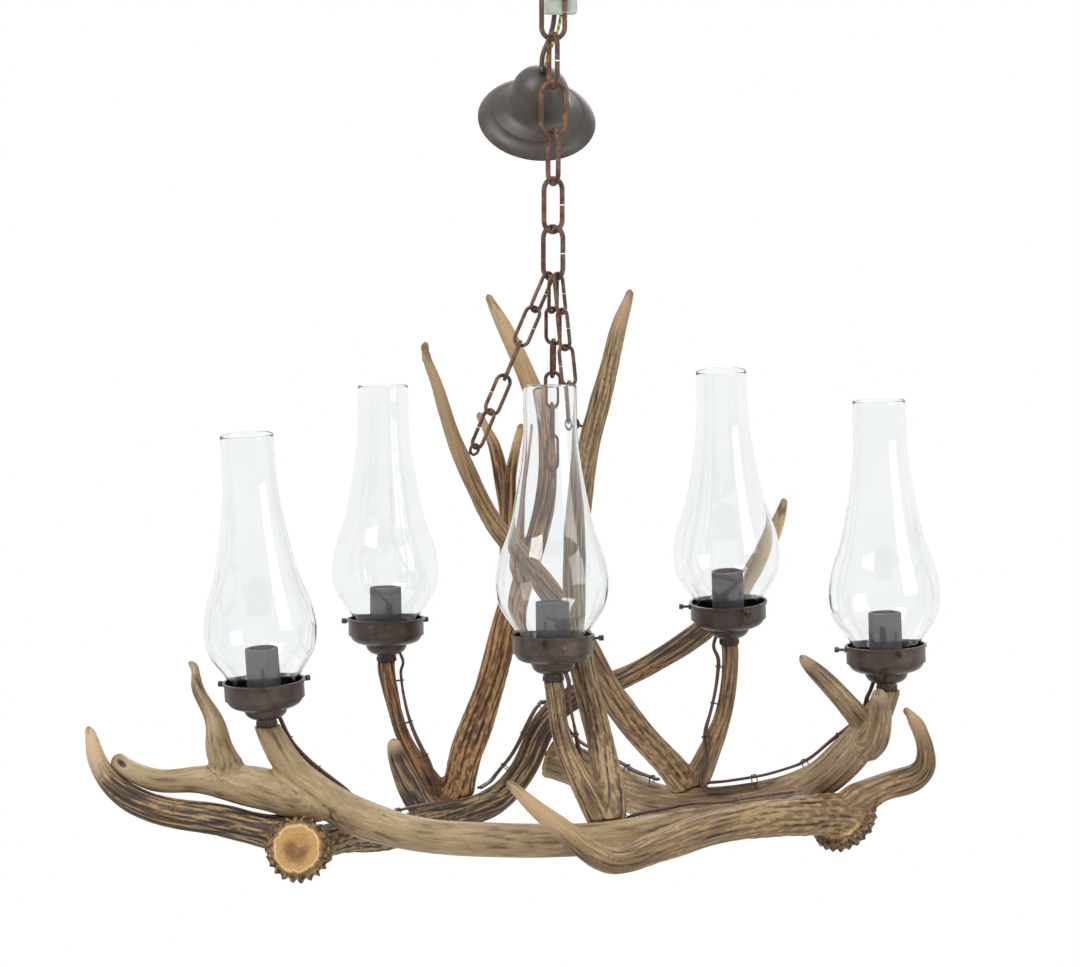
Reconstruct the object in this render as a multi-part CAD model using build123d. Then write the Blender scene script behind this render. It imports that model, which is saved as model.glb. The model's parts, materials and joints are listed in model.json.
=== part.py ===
from build123d import *
import math
import os

# An antler chandelier. Four cast antlers are screwed together into a flat ring, three more stand on it
# and lean together over its middle, and five electric lamps with glass chimneys sit on the sawn antler
# ends. Three thin chains run from screw eyes in the standing antlers up to one heavier chain, which
# hangs from a screw hook in the ceiling. The ceiling rose hangs beside the chain on its flex.
#
# Millimetres. +Z is up, +X is to the right and +Y is away from someone who stands before it.
# The origin is on the ceiling, where the hook's shank goes in.

# ---------------------------------------------------------------- driving sizes
CONTACT = 0.3           # free space between two pieces that only rest on each other

HOOK_WIRE = 6.0         # ceiling hook
HOOK_BORE = 26.0
HOOK_SHANK = 50.0       # from the ceiling down to the ring's centre line
HOOK_THREAD = 32.0      # what goes into the ceiling
HOOK_COLLAR = 16.0
HOOK_COLLAR_THICK = 3.0
HOOK_TURN = 105.0       # the ring stands square to the first link

LINK_WIRE = 5.2         # heavy chain
LINK_LENGTH = 60.6
LINK_WIDTH = 30.0
LINK_SLIT = 1.2         # where each link's wire was closed
LINK_TURNS = (15.0, -70.0, 0.0, -65.0, 40.0, -35.0)

LEG_WIRE = 3.9          # light chains
LEG_WIDTH = 19.5
LEG_SLIT = 0.8
LEG_LINKS = (5, 6, 4)   # left, rear and right
LEG_SPACING = 32.0      # degrees between the legs' places in the last heavy link's bend
LEG_EASE = 0.35         # extra room there, because the outer legs hang askew in the bend

EYE_WIRE = 3.0          # screw eyes
EYE_BORE = 8.0
EYE_NECK = 3.0          # from the ring to the antler's skin
EYE_SCREW = 12.0        # what goes into the antler

RING_DROP = 562.4       # from the heavy chain's last bend down to the antler ring's level
RING_BACK = 8.0         # how far the ring's own middle lies behind the chain, so that it hangs level

ROSE_RADIUS = 62.5      # ceiling rose
ROSE_HEIGHT = 68.0
ROSE_DOME = 30.5
ROSE_STEP = 47.0        # radius of the groove round the skirt
ROSE_SHEET = 1.2
ROSE_AXIS = (0.09, -0.67, 0.74)
ROSE_RIGHT = -11.0      # its tip: from the chain's middle to the right
ROSE_BEHIND = 8.4       # from the back of the second link to it
ROSE_BELOW = 12.0       # from the second link's middle down to it
GRIP_RADIUS = 4.6       # the round cord grip at its tip

BLOCK_SIZE = (36.0, 17.0, 18.0)     # terminal block
BLOCK_UNDER = 6.5       # from the hook's seat down to its top
BLOCK_RIGHT = 7.0
BLOCK_ROUNDING = 4.5
FLEX_RADIUS = 2.6       # brown sleeve
EARTH_RADIUS = 1.6
FLEX_SIDE = 5.2         # from the sleeve's middle to the earth wire's
FLEX_APART = 1.5        # how far the sleeve leaves the grip to the left of its middle

WASHER_RADIUS = 11.0    # under each lamp
WASHER_THICK = 4.5
WASHER_TEETH = 16
NIPPLE_RADIUS = 5.0
NIPPLE_DEPTH = 14.0     # what goes into the antler
CUP_SHEET = 1.2
CUP_RADIUS = 41.25      # outside of the cup's straight band
CUP_FLARE = 1.5         # how far the rim stands out
CUP_BAND = 18.5
CUP_BOWL = (39.0, 24.0, 10.0)       # upper bowl: top radius, foot radius, height
CUP_BASE = (22.5, 10.5, 11.5)       # lower bowl, the same way
CUP_NECK = 3.0
HOLDER_RADIUS = 17.25   # lampholder for an E27 lamp
HOLDER_ABOVE = 34.0     # how far it stands above the cup's rim
HOLDER_FOOT = 7.5
HOLDER_LIFT = 9.0       # the foot's height
LAMP_THREAD = 13.3      # inner radius of the brass screw shell
LAMP_THREAD_DEPTH = 22.0
SHELL_SHEET = 0.5
CONTACT_PIN = 3.5
CONTACT_HEIGHT = 3.0
SCREW_RADIUS = 1.5      # thumbscrews
SCREW_FIT = 0.06
SCREW_BELOW = 5.5       # under the rim
SCREW_REACH = 12.5      # from the band to the end of the knob
KNOB_RADIUS = 3.0
KNOB_LENGTH = 4.0
BOSS_RADIUS = 3.2
BOSS_LENGTH = 2.0

GLASS_WALL = 1.8        # chimneys
GLASS_FOOT = 34.5       # outer radius of the straight foot inside the cup
GLASS_HEIGHT = 255.0    # above the cup's rim
GLASS_OUTLINE = ((0.966, 27.5), (0.815, 27.6), (0.6, 34.6), (0.42, 44.2), (0.29, 55.2), (0.205, 58.0),
                 (0.125, 55.0), (0.035, 41.5))

LEAD_RADIUS = 1.5       # each lamp's two brown wires
LEAD_PITCH = 3.3        # centre to centre
LEAD_OFF = 2.4          # from the antler's skin to theirs at each point of their route
LEAD_SWEEP = 8.0        # how wide of the washer a lead comes down
TIE_RADIUS = 0.6        # bent wires that hold them
TIE_GAP = 0.2
TIE_DEPTH = 8.0         # from the leads' skin down into the antler

JOINT_SCREW = 3.0       # screws through the crossings of two antlers
JOINT_HEAD = 5.5

BURR_KNOBS = 22         # knobs round an antler's burr
BURR_STAND = 9.0        # how far they stand out of its foot
BURR_SET = 2.5          # from the sawn face back to them
BURR_THICK = 11.0

# ---------------------------------------------------------------- antlers
# Each run of an antler is a list of (x, y, z, radius) along its middle. The heights are above the ring's
# level.
FRONT_LEFT = {
    "beam": [(-295, -110, 109, 14.2), (-280, -115, 81, 15.5), (-257, -120, 53, 18), (-214, -130, 24, 20.5),
             (-156, -145, 6, 19), (-103, -155, 0, 18.5), (-49, -165, 0, 18.4), (7, -170, 1, 18),
             (57, -168, 4, 17.5), (109, -158, 10, 16.5), (148, -146, 16, 15)],
    "palm": [(-206, -131, 18, 13), (-236, -127, 28, 18), (-271, -120, 36, 22), (-310, -112, 45, 22), (-345, -108, 50, 18),
             (-375, -105, 51, 14), (-402, -100, 49, 12.5), (-425, -97, 53, 12), (-442, -95, 61, 11),
             (-455, -93, 74, 8.5)],
    "tine": [(-335, -108, 56, 17.5), (-342, -105, 77, 16), (-347, -98, 93, 13), (-350, -90, 106, 10.5),
             (-361, -80, 127, 8), (-371, -70, 148, 6), (-379, -60, 168, 2.8)],
}
LEFT_REAR = {
    "beam": [(-262, -162, -9, 26), (-257, -141, -15, 22), (-226, -92, -13, 18), (-187, -40, -22, 17),
             (-142, 40, -25, 16.5), (-95, 110, -26, 16.5), (-58, 152, -17, 16), (-29, 176, 15, 15.5),
             (-10, 182, 56, 15.5), (20, 184, 86, 14.5), (73, 188, 107, 12.5), (119, 190, 131, 12.5),
             (164, 200, 159, 13), (203, 212, 195, 12.5), (231, 222, 236, 11), (248, 228, 271, 8.5),
             (259, 232, 305, 3)],
    "brow": [(-250, -124, -13, 18), (-300, -114, 0, 18.5), (-333, -112, 8, 17.5), (-368, -110, 14, 17),
             (-403, -107, 19, 16), (-437, -104, 32, 15), (-462, -100, 53, 12.5), (-475, -96, 80, 9),
             (-482, -92, 105, 3.5)],
    "tine": [(-132, 60, -26, 15.5), (-149, 85, -6, 14), (-163, 105, 18, 12.5), (-171, 118, 37, 10),
             (-174, 125, 53, 6)],
}
FRONT_RIGHT = {
    "beam": [(308, -70, -6, 27), (298, -80, 9, 24), (271, -96, 13, 22), (233, -125, 16, 20.5),
             (196, -150, 17, 19.5), (159, -178, 15, 18.5), (122, -205, 8, 17), (95, -225, 2, 16),
             (75, -240, -3, 15), (54, -250, -2, 14), (33, -255, 10, 13), (11, -255, 28, 11.5),
             (-10, -252, 44, 9.5), (-32, -247, 63, 6.5), (-47, -243, 76, 3)],
    "brow": [(285, -88, 10, 15), (306, -79, 19, 17.5), (328, -70, 29, 17), (351, -62, 37, 15.5), (375, -58, 44, 15),
             (388, -58, 56, 12.5), (389, -62, 74, 10), (383, -68, 94, 8.5), (374, -74, 110, 6.5),
             (364, -80, 121, 3)],
}
RIGHT_REAR = {
    "beam": [(348, -60, 138, 14.5), (339, -62, 115, 15.5), (325, -64, 92, 19), (307, -66, 69, 21),
             (287, -60, 48, 20.5), (265, -30, 30, 19), (229, 20, 10, 18), (188, 65, -6, 18.5),
             (149, 102, -16, 19.5), (112, 138, -20, 21.5), (88, 160, -15, 22.5), (53, 182, -1, 22.5),
             (22, 200, 10, 23), (0, 210, 17, 25)],
    "tine": [(330, -60, 86, 15.5), (311, -75, 119, 13), (291, -85, 142, 11), (272, -92, 162, 8.8),
             (260, -96, 174, 6), (255, -98, 180, 3.5)],
    "stub": [(325, -68, 80, 18.5), (335, -95, 98, 15), (336, -120, 123, 12.5), (333, -138, 142, 9.5),
             (331, -146, 151, 5)],
}
UPRIGHT_LEFT = {
    "beam": [(-112, 132, -24, 17.5), (-103, 130, -2, 18.5), (-96, 127, 31, 18.5), (-85, 122, 63, 18.5),
             (-73, 117, 98, 17), (-61, 110, 140, 16.3), (-46, 104, 197, 15.5), (-31, 100, 243, 15),
             (-17, 98, 287, 14.5), (-8, 98, 330, 14), (-7, 98, 374, 13), (-13, 98, 411, 12),
             (-28, 100, 453, 10.3), (-47, 103, 495, 9), (-61, 106, 522, 6.5), (-70, 108, 540, 3)],
    "lamp_arm": [(-110, 132, -20, 15), (-132, 134, 0, 14), (-147, 138, 23, 11), (-161, 142, 46, 9.2),
                 (-171, 146, 73, 8.6), (-178, 149, 103, 9.2), (-182, 150, 135, 10.2)],
    "rear_tine": [(-37, 102, 238, 12), (-47, 108, 286, 10.5), (-53, 112, 329, 9.5), (-58, 114, 356, 8.5),
                  (-64, 116, 378, 7), (-73, 117, 397, 4.8), (-80, 118, 412, 2.5)],
    "front_tine": [(-35, 94, 233, 12), (-45, 80, 284, 10), (-47, 74, 314, 8.7), (-45, 68, 349, 7.7),
                   (-41, 65, 372, 6), (-37, 63, 390, 4), (-33, 62, 405, 2.2)],
}
UPRIGHT_FRONT = {
    "beam": [(52, -150, 10, 17), (59, -138, 38, 16), (54, -115, 69, 15), (42, -85, 117, 14.5),
             (32, -65, 154, 14), (25, -50, 201, 13.5), (23, -42, 252, 13.5), (25, -38, 304, 13.5),
             (31, -36, 356, 13), (41, -38, 409, 12.3), (51, -42, 445, 11.5), (61, -45, 487, 10),
             (71, -48, 526, 7.5), (80, -50, 555, 3)],
    "lamp_arm": [(52, -150, 14, 15.5), (40, -148, 37, 15.5), (25, -142, 64, 13.2), (11, -136, 94, 10.8),
                 (4, -132, 125, 10.4), (0, -130, 159, 11)],
}
UPRIGHT_RIGHT = {
    "beam": [(150, 108, -2, 18.5), (132, 107, 21, 17), (113, 100, 44, 16), (86, 85, 77, 16),
             (59, 65, 118, 15.5), (37, 45, 162, 15), (13, 25, 205, 14.5), (-10, 8, 240, 13.5),
             (-35, -8, 272, 12), (-63, -22, 310, 10.3), (-78, -32, 340, 10), (-89, -40, 365, 9.8),
             (-102, -48, 397, 8.5), (-113, -56, 432, 7.3), (-124, -64, 468, 5), (-132, -69, 502, 2.5)],
    "lamp_arm": [(150, 108, 2, 16), (164, 116, 23, 14.5), (175, 130, 45, 12), (186, 140, 72, 10.3),
                 (193, 147, 104, 9.5), (195, 149, 133, 9.5), (194, 150, 154, 10)],
}

ANTLERS = {
    "front_left": FRONT_LEFT, "left_rear": LEFT_REAR, "front_right": FRONT_RIGHT, "right_rear": RIGHT_REAR,
    "upright_left": UPRIGHT_LEFT, "upright_front": UPRIGHT_FRONT, "upright_right": UPRIGHT_RIGHT,
}

# Where each lamp sits, which way it leans off upright (to the right and away, in degrees), and how far
# its front thumbscrew is turned round to the right.
LAMPS = [
    {"run": (FRONT_LEFT, "beam", 0), "lean": (-3.4, -1.5), "turn": 4.0},
    {"run": (UPRIGHT_LEFT, "lamp_arm", -1), "lean": (-0.6, 2.0), "turn": 5.0},
    {"run": (UPRIGHT_FRONT, "lamp_arm", -1), "lean": (-0.7, 3.0), "turn": -14.0},
    {"run": (UPRIGHT_RIGHT, "lamp_arm", -1), "lean": (-2.2, -3.5), "turn": 22.0},
    {"run": (RIGHT_REAR, "beam", 0), "lean": (-2.1, 1.0), "turn": 15.0},
]

# Which antler each leg of chain is hooked to: the run, the place along it counted in points, and the
# side that the eye looks to.
EYES = [
    {"run": UPRIGHT_RIGHT["beam"], "at": 11.45, "side": (0.45, 0.35, 0.8)},
    {"run": UPRIGHT_LEFT["beam"], "at": 9.5, "side": (0.35, -0.95, 0.1)},
    {"run": UPRIGHT_FRONT["beam"], "at": 9.0, "side": (-0.95, -0.1, 0.3)},
]

# Long screws that hold two antlers together: where the head sinks in, the way the screw goes, its length.
JOINT_SCREWS = [
    {"head": (-262, -128, -32), "into": (-0.05, 0.1, 1.0), "length": 62},
    {"head": (137, -132, 14), "into": (0.42, -0.9, 0.0), "length": 52},
    {"head": (300, -84, -13), "into": (-0.2, 0.4, 0.9), "length": 60},
    {"head": (14, 231, 15), "into": (-0.55, -0.8, 0.2), "length": 64},
    {"head": (-97, 113, -41), "into": (-0.2, 0.4, 0.9), "length": 58},
    {"head": (56, -168, -12), "into": (0.0, 0.45, 0.9), "length": 55},
    {"head": (148, 102, -34), "into": (0.0, 0.05, 1.0), "length": 58},
]

# The leads. Each has two wires side by side. It leaves its cup on the side given by exit, in degrees round
# from the right, and lies on the antlers: a run, the place along it counted in points, and the side of
# the antler that it is tied to, and how far it is lifted off there. A free point between two antlers is
# given by its own place.
LEADS = {
    "leads_left": [
        {"lamp": 0, "exit": 35, "route": [
            (FRONT_LEFT["beam"], 0.45, (0.6, 0.7, 0.2)), (FRONT_LEFT["beam"], 1.0, (0.6, 0.7, 0.25)),
            (FRONT_LEFT["beam"], 1.65, (0.6, 0.7, 0.35)), (FRONT_LEFT["beam"], 2.3, (0.5, 0.7, 0.5)),
            (FRONT_LEFT["beam"], 2.85, (0.3, 0.8, 0.5)), ((-207, -88, 22), (0, 0.3, 1)),
            (LEFT_REAR["beam"], 2.65, (-0.1, 0.0, 1)), (LEFT_REAR["beam"], 3.05, (-0.2, 0.1, 1)),
            (LEFT_REAR["beam"], 3.4, (-0.35, 0.2, 0.9)), (LEFT_REAR["beam"], 3.8, (-0.2, 0.1, 1)),
            (LEFT_REAR["beam"], 4.2, (0.1, -0.1, 1)), (LEFT_REAR["beam"], 4.6, (0.25, -0.2, 0.9))]},
        {"lamp": 1, "exit": 0, "route": [
            (UPRIGHT_LEFT["lamp_arm"], 5.6, (1, 0.1, 0.1)), (UPRIGHT_LEFT["lamp_arm"], 4.9, (1, 0.05, 0.1)),
            (UPRIGHT_LEFT["lamp_arm"], 4.1, (1, -0.1, 0.2)), (UPRIGHT_LEFT["lamp_arm"], 3.3, (0.9, -0.3, 0.4)),
            (UPRIGHT_LEFT["lamp_arm"], 2.5, (0.75, -0.5, 0.5)), (UPRIGHT_LEFT["lamp_arm"], 1.8, (0.6, -0.65, 0.5)),
            (UPRIGHT_LEFT["lamp_arm"], 1.1, (0.2, -0.9, 0.3)), (UPRIGHT_LEFT["lamp_arm"], 0.6, (-0.2, -1, 0.1))]},
    ],
    "leads_rear": [
        {"route": [
            (LEFT_REAR["beam"], 5.45, (-0.2, -0.3, 1)), (LEFT_REAR["beam"], 5.9, (-0.5, -0.2, 0.85)),
            (LEFT_REAR["beam"], 6.35, (-0.75, -0.2, 0.6)), (LEFT_REAR["beam"], 6.85, (-0.8, -0.3, 0.5)),
            (LEFT_REAR["beam"], 7.4, (-0.85, -0.4, 0.3)), (LEFT_REAR["beam"], 7.9, (-0.7, -0.5, 0.5), 2),
            (LEFT_REAR["beam"], 8.25, (-0.6, -0.1, 0.8), 2.5), (LEFT_REAR["beam"], 8.5, (-0.3, 0.6, 0.75), 4),
            ((6, 208, 68), (0.3, 0.6, 0.8)), (RIGHT_REAR["beam"], 12.15, (0.1, 0.1, 1)),
            (RIGHT_REAR["beam"], 11.3, (0.2, -0.1, 0.95)), (RIGHT_REAR["beam"], 10.6, (0.3, -0.1, 0.9)),
            (RIGHT_REAR["beam"], 10.1, (0.2, -0.25, 0.9)), (RIGHT_REAR["beam"], 9.5, (0.1, -0.1, 1)),
            (RIGHT_REAR["beam"], 8.85, (0, 0, 1))]},
    ],
    "leads_right": [
        {"lamp": 2, "exit": -30, "route": [
            (UPRIGHT_FRONT["lamp_arm"], 4.7, (0.95, -0.35, 0.1)), (UPRIGHT_FRONT["lamp_arm"], 4.1, (1, -0.2, 0.1)),
            (UPRIGHT_FRONT["lamp_arm"], 3.5, (1, 0.1, 0.15)), (UPRIGHT_FRONT["lamp_arm"], 2.9, (0.85, 0.5, 0.2)),
            (UPRIGHT_FRONT["lamp_arm"], 2.3, (0.4, 0.9, 0.2)), (UPRIGHT_FRONT["lamp_arm"], 1.7, (-0.1, 1, 0.1), 2),
            (UPRIGHT_FRONT["beam"], 0.9, (0, 1, -0.2), 3.5), (UPRIGHT_FRONT["beam"], 0.35, (0.6, 0.8, 0), 3),
            (FRONT_LEFT["beam"], 8.6, (-0.1, 0.55, 0.85)), (FRONT_LEFT["beam"], 9.2, (-0.1, 0.45, 0.9)),
            ((141, -150, 36), (-0.1, 0.4, 0.9)), (FRONT_RIGHT["beam"], 4.45, (-0.2, 0.3, 0.95)),
            (FRONT_RIGHT["beam"], 3.85, (-0.15, 0.2, 0.95)), (FRONT_RIGHT["beam"], 3.2, (-0.1, 0.15, 1)),
            (FRONT_RIGHT["beam"], 2.5, (-0.2, 0.25, 0.9))]},
        {"lamp": 3, "exit": 190, "route": [
            (UPRIGHT_RIGHT["lamp_arm"], 5.3, (-0.9, -0.4, 0)), (UPRIGHT_RIGHT["lamp_arm"], 4.5, (-0.95, -0.25, 0.1)),
            (UPRIGHT_RIGHT["lamp_arm"], 3.8, (-1, -0.1, 0.2)), (UPRIGHT_RIGHT["lamp_arm"], 3.1, (-0.95, -0.1, 0.2)),
            (UPRIGHT_RIGHT["lamp_arm"], 2.4, (-0.8, -0.4, 0.3)), (UPRIGHT_RIGHT["lamp_arm"], 1.7, (-0.4, -0.85, 0.3)),
            (UPRIGHT_RIGHT["lamp_arm"], 1.0, (0.1, -1, 0.15)), (UPRIGHT_RIGHT["lamp_arm"], 0.4, (0.2, -1, 0.1)),
            (RIGHT_REAR["beam"], 7.2, (-0.75, -0.5, 0.7)), (RIGHT_REAR["beam"], 6.55, (-0.7, -0.45, 0.7)),
            (RIGHT_REAR["beam"], 5.9, (-0.7, -0.45, 0.65))]},
        {"lamp": 4, "exit": 150, "route": [
            (RIGHT_REAR["beam"], 0.6, (-0.75, 0.6, 0.2)), (RIGHT_REAR["beam"], 1.2, (-0.45, 0.85, 0.3)),
            (RIGHT_REAR["beam"], 1.8, (-0.4, 0.85, 0.35)), (RIGHT_REAR["beam"], 2.4, (-0.5, 0.75, 0.45)),
            (RIGHT_REAR["beam"], 3.1, (-0.6, 0.5, 0.6)), (RIGHT_REAR["beam"], 3.8, (-0.6, 0.3, 0.7)),
            (RIGHT_REAR["beam"], 4.4, (-0.4, 0.3, 0.85)), (RIGHT_REAR["beam"], 4.9, (-0.3, 0.2, 0.9)),
            (RIGHT_REAR["beam"], 5.4, (-0.25, 0.15, 0.9)), (RIGHT_REAR["beam"], 5.95, (-0.2, 0.2, 0.9)),
            (RIGHT_REAR["beam"], 6.5, (-0.2, 0.2, 0.95)), (RIGHT_REAR["beam"], 7.05, (-0.15, 0.2, 0.97)),
            (RIGHT_REAR["beam"], 7.4, (-0.2, 0.1, 0.97))]},
    ],
}

# The antlers whose foot is coped round another one: each is cut by those it stands on.
COPED = [
    ("antler_upright_left", "antler_left_rear"), ("antler_upright_right", "antler_right_rear"),
    ("antler_upright_front", "antler_front_left"), ("antler_upright_front", "antler_front_right"),
    ("antler_front_left", "antler_left_rear"), ("antler_front_left", "antler_front_right"),
    ("antler_right_rear", "antler_left_rear"), ("antler_right_rear", "antler_front_right"),
]

# Where the leads are held down by a bent wire: the node, the lead in it and the point of its route.
TIES = {
    "leads_left": [(0, 2), (0, 4), (0, 6), (0, 10), (1, 2), (1, 4), (1, 6)],
    "leads_rear": [(0, 2), (0, 4), (0, 6), (0, 11), (0, 13)],
    "leads_right": [(0, 2), (0, 4), (0, 9), (0, 13), (1, 2), (1, 4), (1, 6), (2, 3), (2, 5), (2, 8), (2, 11)],
}


# ---------------------------------------------------------------- helpers
def place_on(run, station):
    """The middle and radius of a run at a place counted in points, and the way the run goes there."""
    first = min(int(station), len(run) - 2)
    share = station - first
    a, b = run[first], run[first + 1]
    middle = Vector(*a[:3]) * (1 - share) + Vector(*b[:3]) * share
    heading = (Vector(*b[:3]) - Vector(*a[:3])).normalized()
    return middle, a[3] * (1 - share) + b[3] * share, heading


def square_to(direction, axis):
    """The part of a direction that is square to an axis, as a unit vector."""
    direction, axis = Vector(*direction), Vector(*axis).normalized()
    return (direction - axis * direction.dot(axis)).normalized()


def round_run(run, seats):
    """A limb of antler: a loft through circles square to the run. seats gives an end's own normal."""
    middles = [Vector(*p[:3]) for p in run]
    last = len(run) - 1
    across = None
    sections = []
    for i, middle in enumerate(middles):
        heading = (middles[min(i + 1, last)] - middles[max(i - 1, 0)]).normalized()
        if i in seats:
            heading = seats[i] if seats[i].dot(heading) > 0 else seats[i] * -1
        across = square_to(across if across else (1, 0.2, 0.1), heading)
        sections.append(Plane(middle, x_dir=across, z_dir=heading) * Circle(run[i][3]))
    return loft(sections)


def antler(runs, seats=None):
    """One antler: its limbs fused. seats maps a run's name to the normals of its sawn ends."""
    seats = seats or {}
    whole = None
    for name, run in runs.items():
        limb = round_run(run, seats.get(name, {}))
        whole = limb if whole is None else whole + limb
    return Pos(*RING_PLACE) * whole


def burr(run, end):
    """The knobbly ring round an antler's foot: a wavy disc standing out round one end of a run."""
    inner = run[1] if end == 0 else run[-2]
    outward = (Vector(*run[end][:3]) - Vector(*inner[:3])).normalized()
    points = []
    for i in range(2 * BURR_KNOBS):
        angle = math.pi * i / BURR_KNOBS
        reach = run[end][3] + BURR_STAND * (1.0 if i % 2 else 0.45)
        points.append((reach * math.cos(angle), reach * math.sin(angle)))
    face = Plane(Vector(*run[end][:3]) - outward * BURR_SET, x_dir=square_to((1, 0.3, 0), outward),
                 z_dir=outward * -1)
    return Pos(*RING_PLACE) * extrude(face * make_face(Spline(*points, periodic=True)), amount=BURR_THICK)


def chain_link(length, width, wire, slit):
    """A long link in the XZ plane, its middle at the origin, cut through in the middle of one side."""
    bend = (width - wire) / 2
    straight = (length - width) / 2
    path = Line((bend, slit / 2), (bend, straight))
    path += CenterArc((0, straight), bend, 0, 180)
    path += Line((-bend, straight), (-bend, -straight))
    path += CenterArc((0, -straight), bend, 180, 180)
    path += Line((bend, -straight), (bend, -slit / 2))
    tube = sweep(Plane(path @ 0, z_dir=path % 0) * Circle(wire / 2), path=path)
    return Rot(90, 0, 0) * tube


def one_solid(shape):
    """The largest solid of a shape, without the crumbs that a cut leaves behind."""
    return max(shape.solids(), key=lambda solid: solid.volume)


def tube(points, radius):
    """A cord along straight runs that are joined by arcs, each as large as its two runs allow."""
    points = [Vector(*p) for p in points]
    radii = []
    for before, here, after in zip(points, points[1:], points[2:]):
        arriving, leaving = here - before, after - here
        turn = math.radians(arriving.get_angle(leaving))
        radii.append(0.45 * min(arriving.length, leaving.length) / math.tan(turn / 2))
    path = FilletPolyline(*points, radius=radii)
    cord = sweep(Plane(path @ 0, z_dir=path % 0) * Circle(radius), path=path)
    share = cord.volume / (math.pi * radius ** 2 * path.length)
    print(f"cord {path.length:.0f} mm, radii {min(radii):.0f} to {max(radii):.0f}, volume {share:.3f} of true")
    return cord


# ---------------------------------------------------------------- the heavy chain and its hook
HOOK_RING = HOOK_BORE / 2 + HOOK_WIRE / 2
HOOK_CENTRE = -HOOK_SHANK
HOOK_SEAT = HOOK_CENTRE - HOOK_RING
LINK_CROWN = (LINK_LENGTH - LINK_WIRE) / 2
LINK_STEP = LINK_LENGTH - 2 * LINK_WIRE - CONTACT
FIRST_CROWN = HOOK_SEAT + HOOK_WIRE / 2 + LINK_WIRE / 2 + CONTACT
LINK_CENTRES = [FIRST_CROWN - LINK_CROWN - i * LINK_STEP for i in range(len(LINK_TURNS))]
CHAIN_FOOT = LINK_CENTRES[-1] - LINK_CROWN
RING_PLACE = Vector(0, RING_BACK, CHAIN_FOOT - RING_DROP)


def ceiling_hook():
    """A closed screw hook: ring, shank, collar against the ceiling and the thread above it."""
    ring = Rot(0, 0, HOOK_TURN) * Rot(90, 0, 0) * Torus(HOOK_RING, HOOK_WIRE / 2)
    ring = Pos(0, 0, HOOK_CENTRE) * ring
    reach = HOOK_SHANK - HOOK_RING + HOOK_THREAD
    shank = Pos(0, 0, HOOK_THREAD - reach / 2) * Cylinder(HOOK_WIRE / 2, reach)
    collar = Pos(0, 0, -HOOK_COLLAR_THICK / 2) * Cylinder(HOOK_COLLAR / 2, HOOK_COLLAR_THICK)
    return ring + shank + collar


def heavy_links():
    """The links of the heavy chain, from the top."""
    link = chain_link(LINK_LENGTH, LINK_WIDTH, LINK_WIRE, LINK_SLIT)
    return [Pos(0, 0, z) * Rot(0, 0, turn) * link for z, turn in zip(LINK_CENTRES, LINK_TURNS)]


# ---------------------------------------------------------------- screw eyes and light chains
def eye_frame(eye):
    """Ring centre, ring wire's radius about it, and the way from the ring into the antler."""
    middle, radius, heading = place_on(eye["run"], eye["at"])
    out = square_to(eye["side"], heading)
    ring = EYE_BORE / 2 + EYE_WIRE / 2
    centre = middle + out * (radius + EYE_NECK + ring) + RING_PLACE
    return centre, ring, out * -1


def leg_start(index):
    """Where one leg's first link lies in the bend of the last heavy link."""
    angle = math.radians(LEG_SPACING * (index - 1))
    bend = (LINK_WIDTH - LINK_WIRE) / 2
    turn = math.radians(LINK_TURNS[-1])
    along = bend * math.sin(angle)
    return Vector(along * math.cos(turn), along * math.sin(turn), CHAIN_FOOT + bend * (1 - math.cos(angle)))


def leg_and_eye(index):
    """One light chain from the heavy chain's last link to its screw eye, and that eye."""
    centre, ring, inward = eye_frame(EYES[index])
    start = leg_start(index)
    rough = (centre - start).normalized()
    hooked = centre - rough * ring
    down = (hooked - start).normalized()
    links = LEG_LINKS[index]
    above = LINK_WIRE / 2 + LEG_WIRE / 2 + CONTACT + LEG_EASE * abs(index - 1)
    below = EYE_WIRE / 2 + LEG_WIRE / 2 + CONTACT
    overlap = LEG_WIRE + CONTACT
    span = ((hooked - start).length + above + below + (links - 1) * overlap) / links
    turn = math.radians(LINK_TURNS[-1])
    first = square_to((math.cos(turn), math.sin(turn), 0), down)
    eye_normal = down.cross(inward).normalized()
    wanted = eye_normal.cross(down)
    turned = math.degrees(math.atan2(down.dot(first.cross(wanted)), first.dot(wanted)))
    extra = (turned - 90 * (links - 1)) % 180
    extra = extra - 180 if extra > 90 else extra
    link = chain_link(span + LEG_WIRE, LEG_WIDTH, LEG_WIRE, LEG_SLIT)
    pieces = []
    for i in range(links):
        middle = start - down * above + down * (span / 2 + i * (span - overlap))
        normal = first.rotate(Axis((0, 0, 0), tuple(down)), i * (90 + extra / (links - 1)))
        pieces.append(Plane(middle, x_dir=normal.cross(down), z_dir=down * -1).location * link)
    eye_place = Plane(centre, x_dir=down, z_dir=eye_normal)
    ring_solid = eye_place.location * Torus(ring, EYE_WIRE / 2)
    neck = Plane(centre + inward * ring, z_dir=inward)
    shank = neck.location * Cylinder(EYE_WIRE / 2, EYE_NECK + EYE_SCREW,
                                     align=(Align.CENTER, Align.CENTER, Align.MIN))
    return pieces, ring_solid + shank


# ---------------------------------------------------------------- ceiling rose, terminal block and flex
def link_back(index):
    """How far behind the chain's middle one heavy link reaches."""
    bend = (LINK_WIDTH - LINK_WIRE) / 2
    return bend * abs(math.sin(math.radians(LINK_TURNS[index]))) + LINK_WIRE / 2


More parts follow.
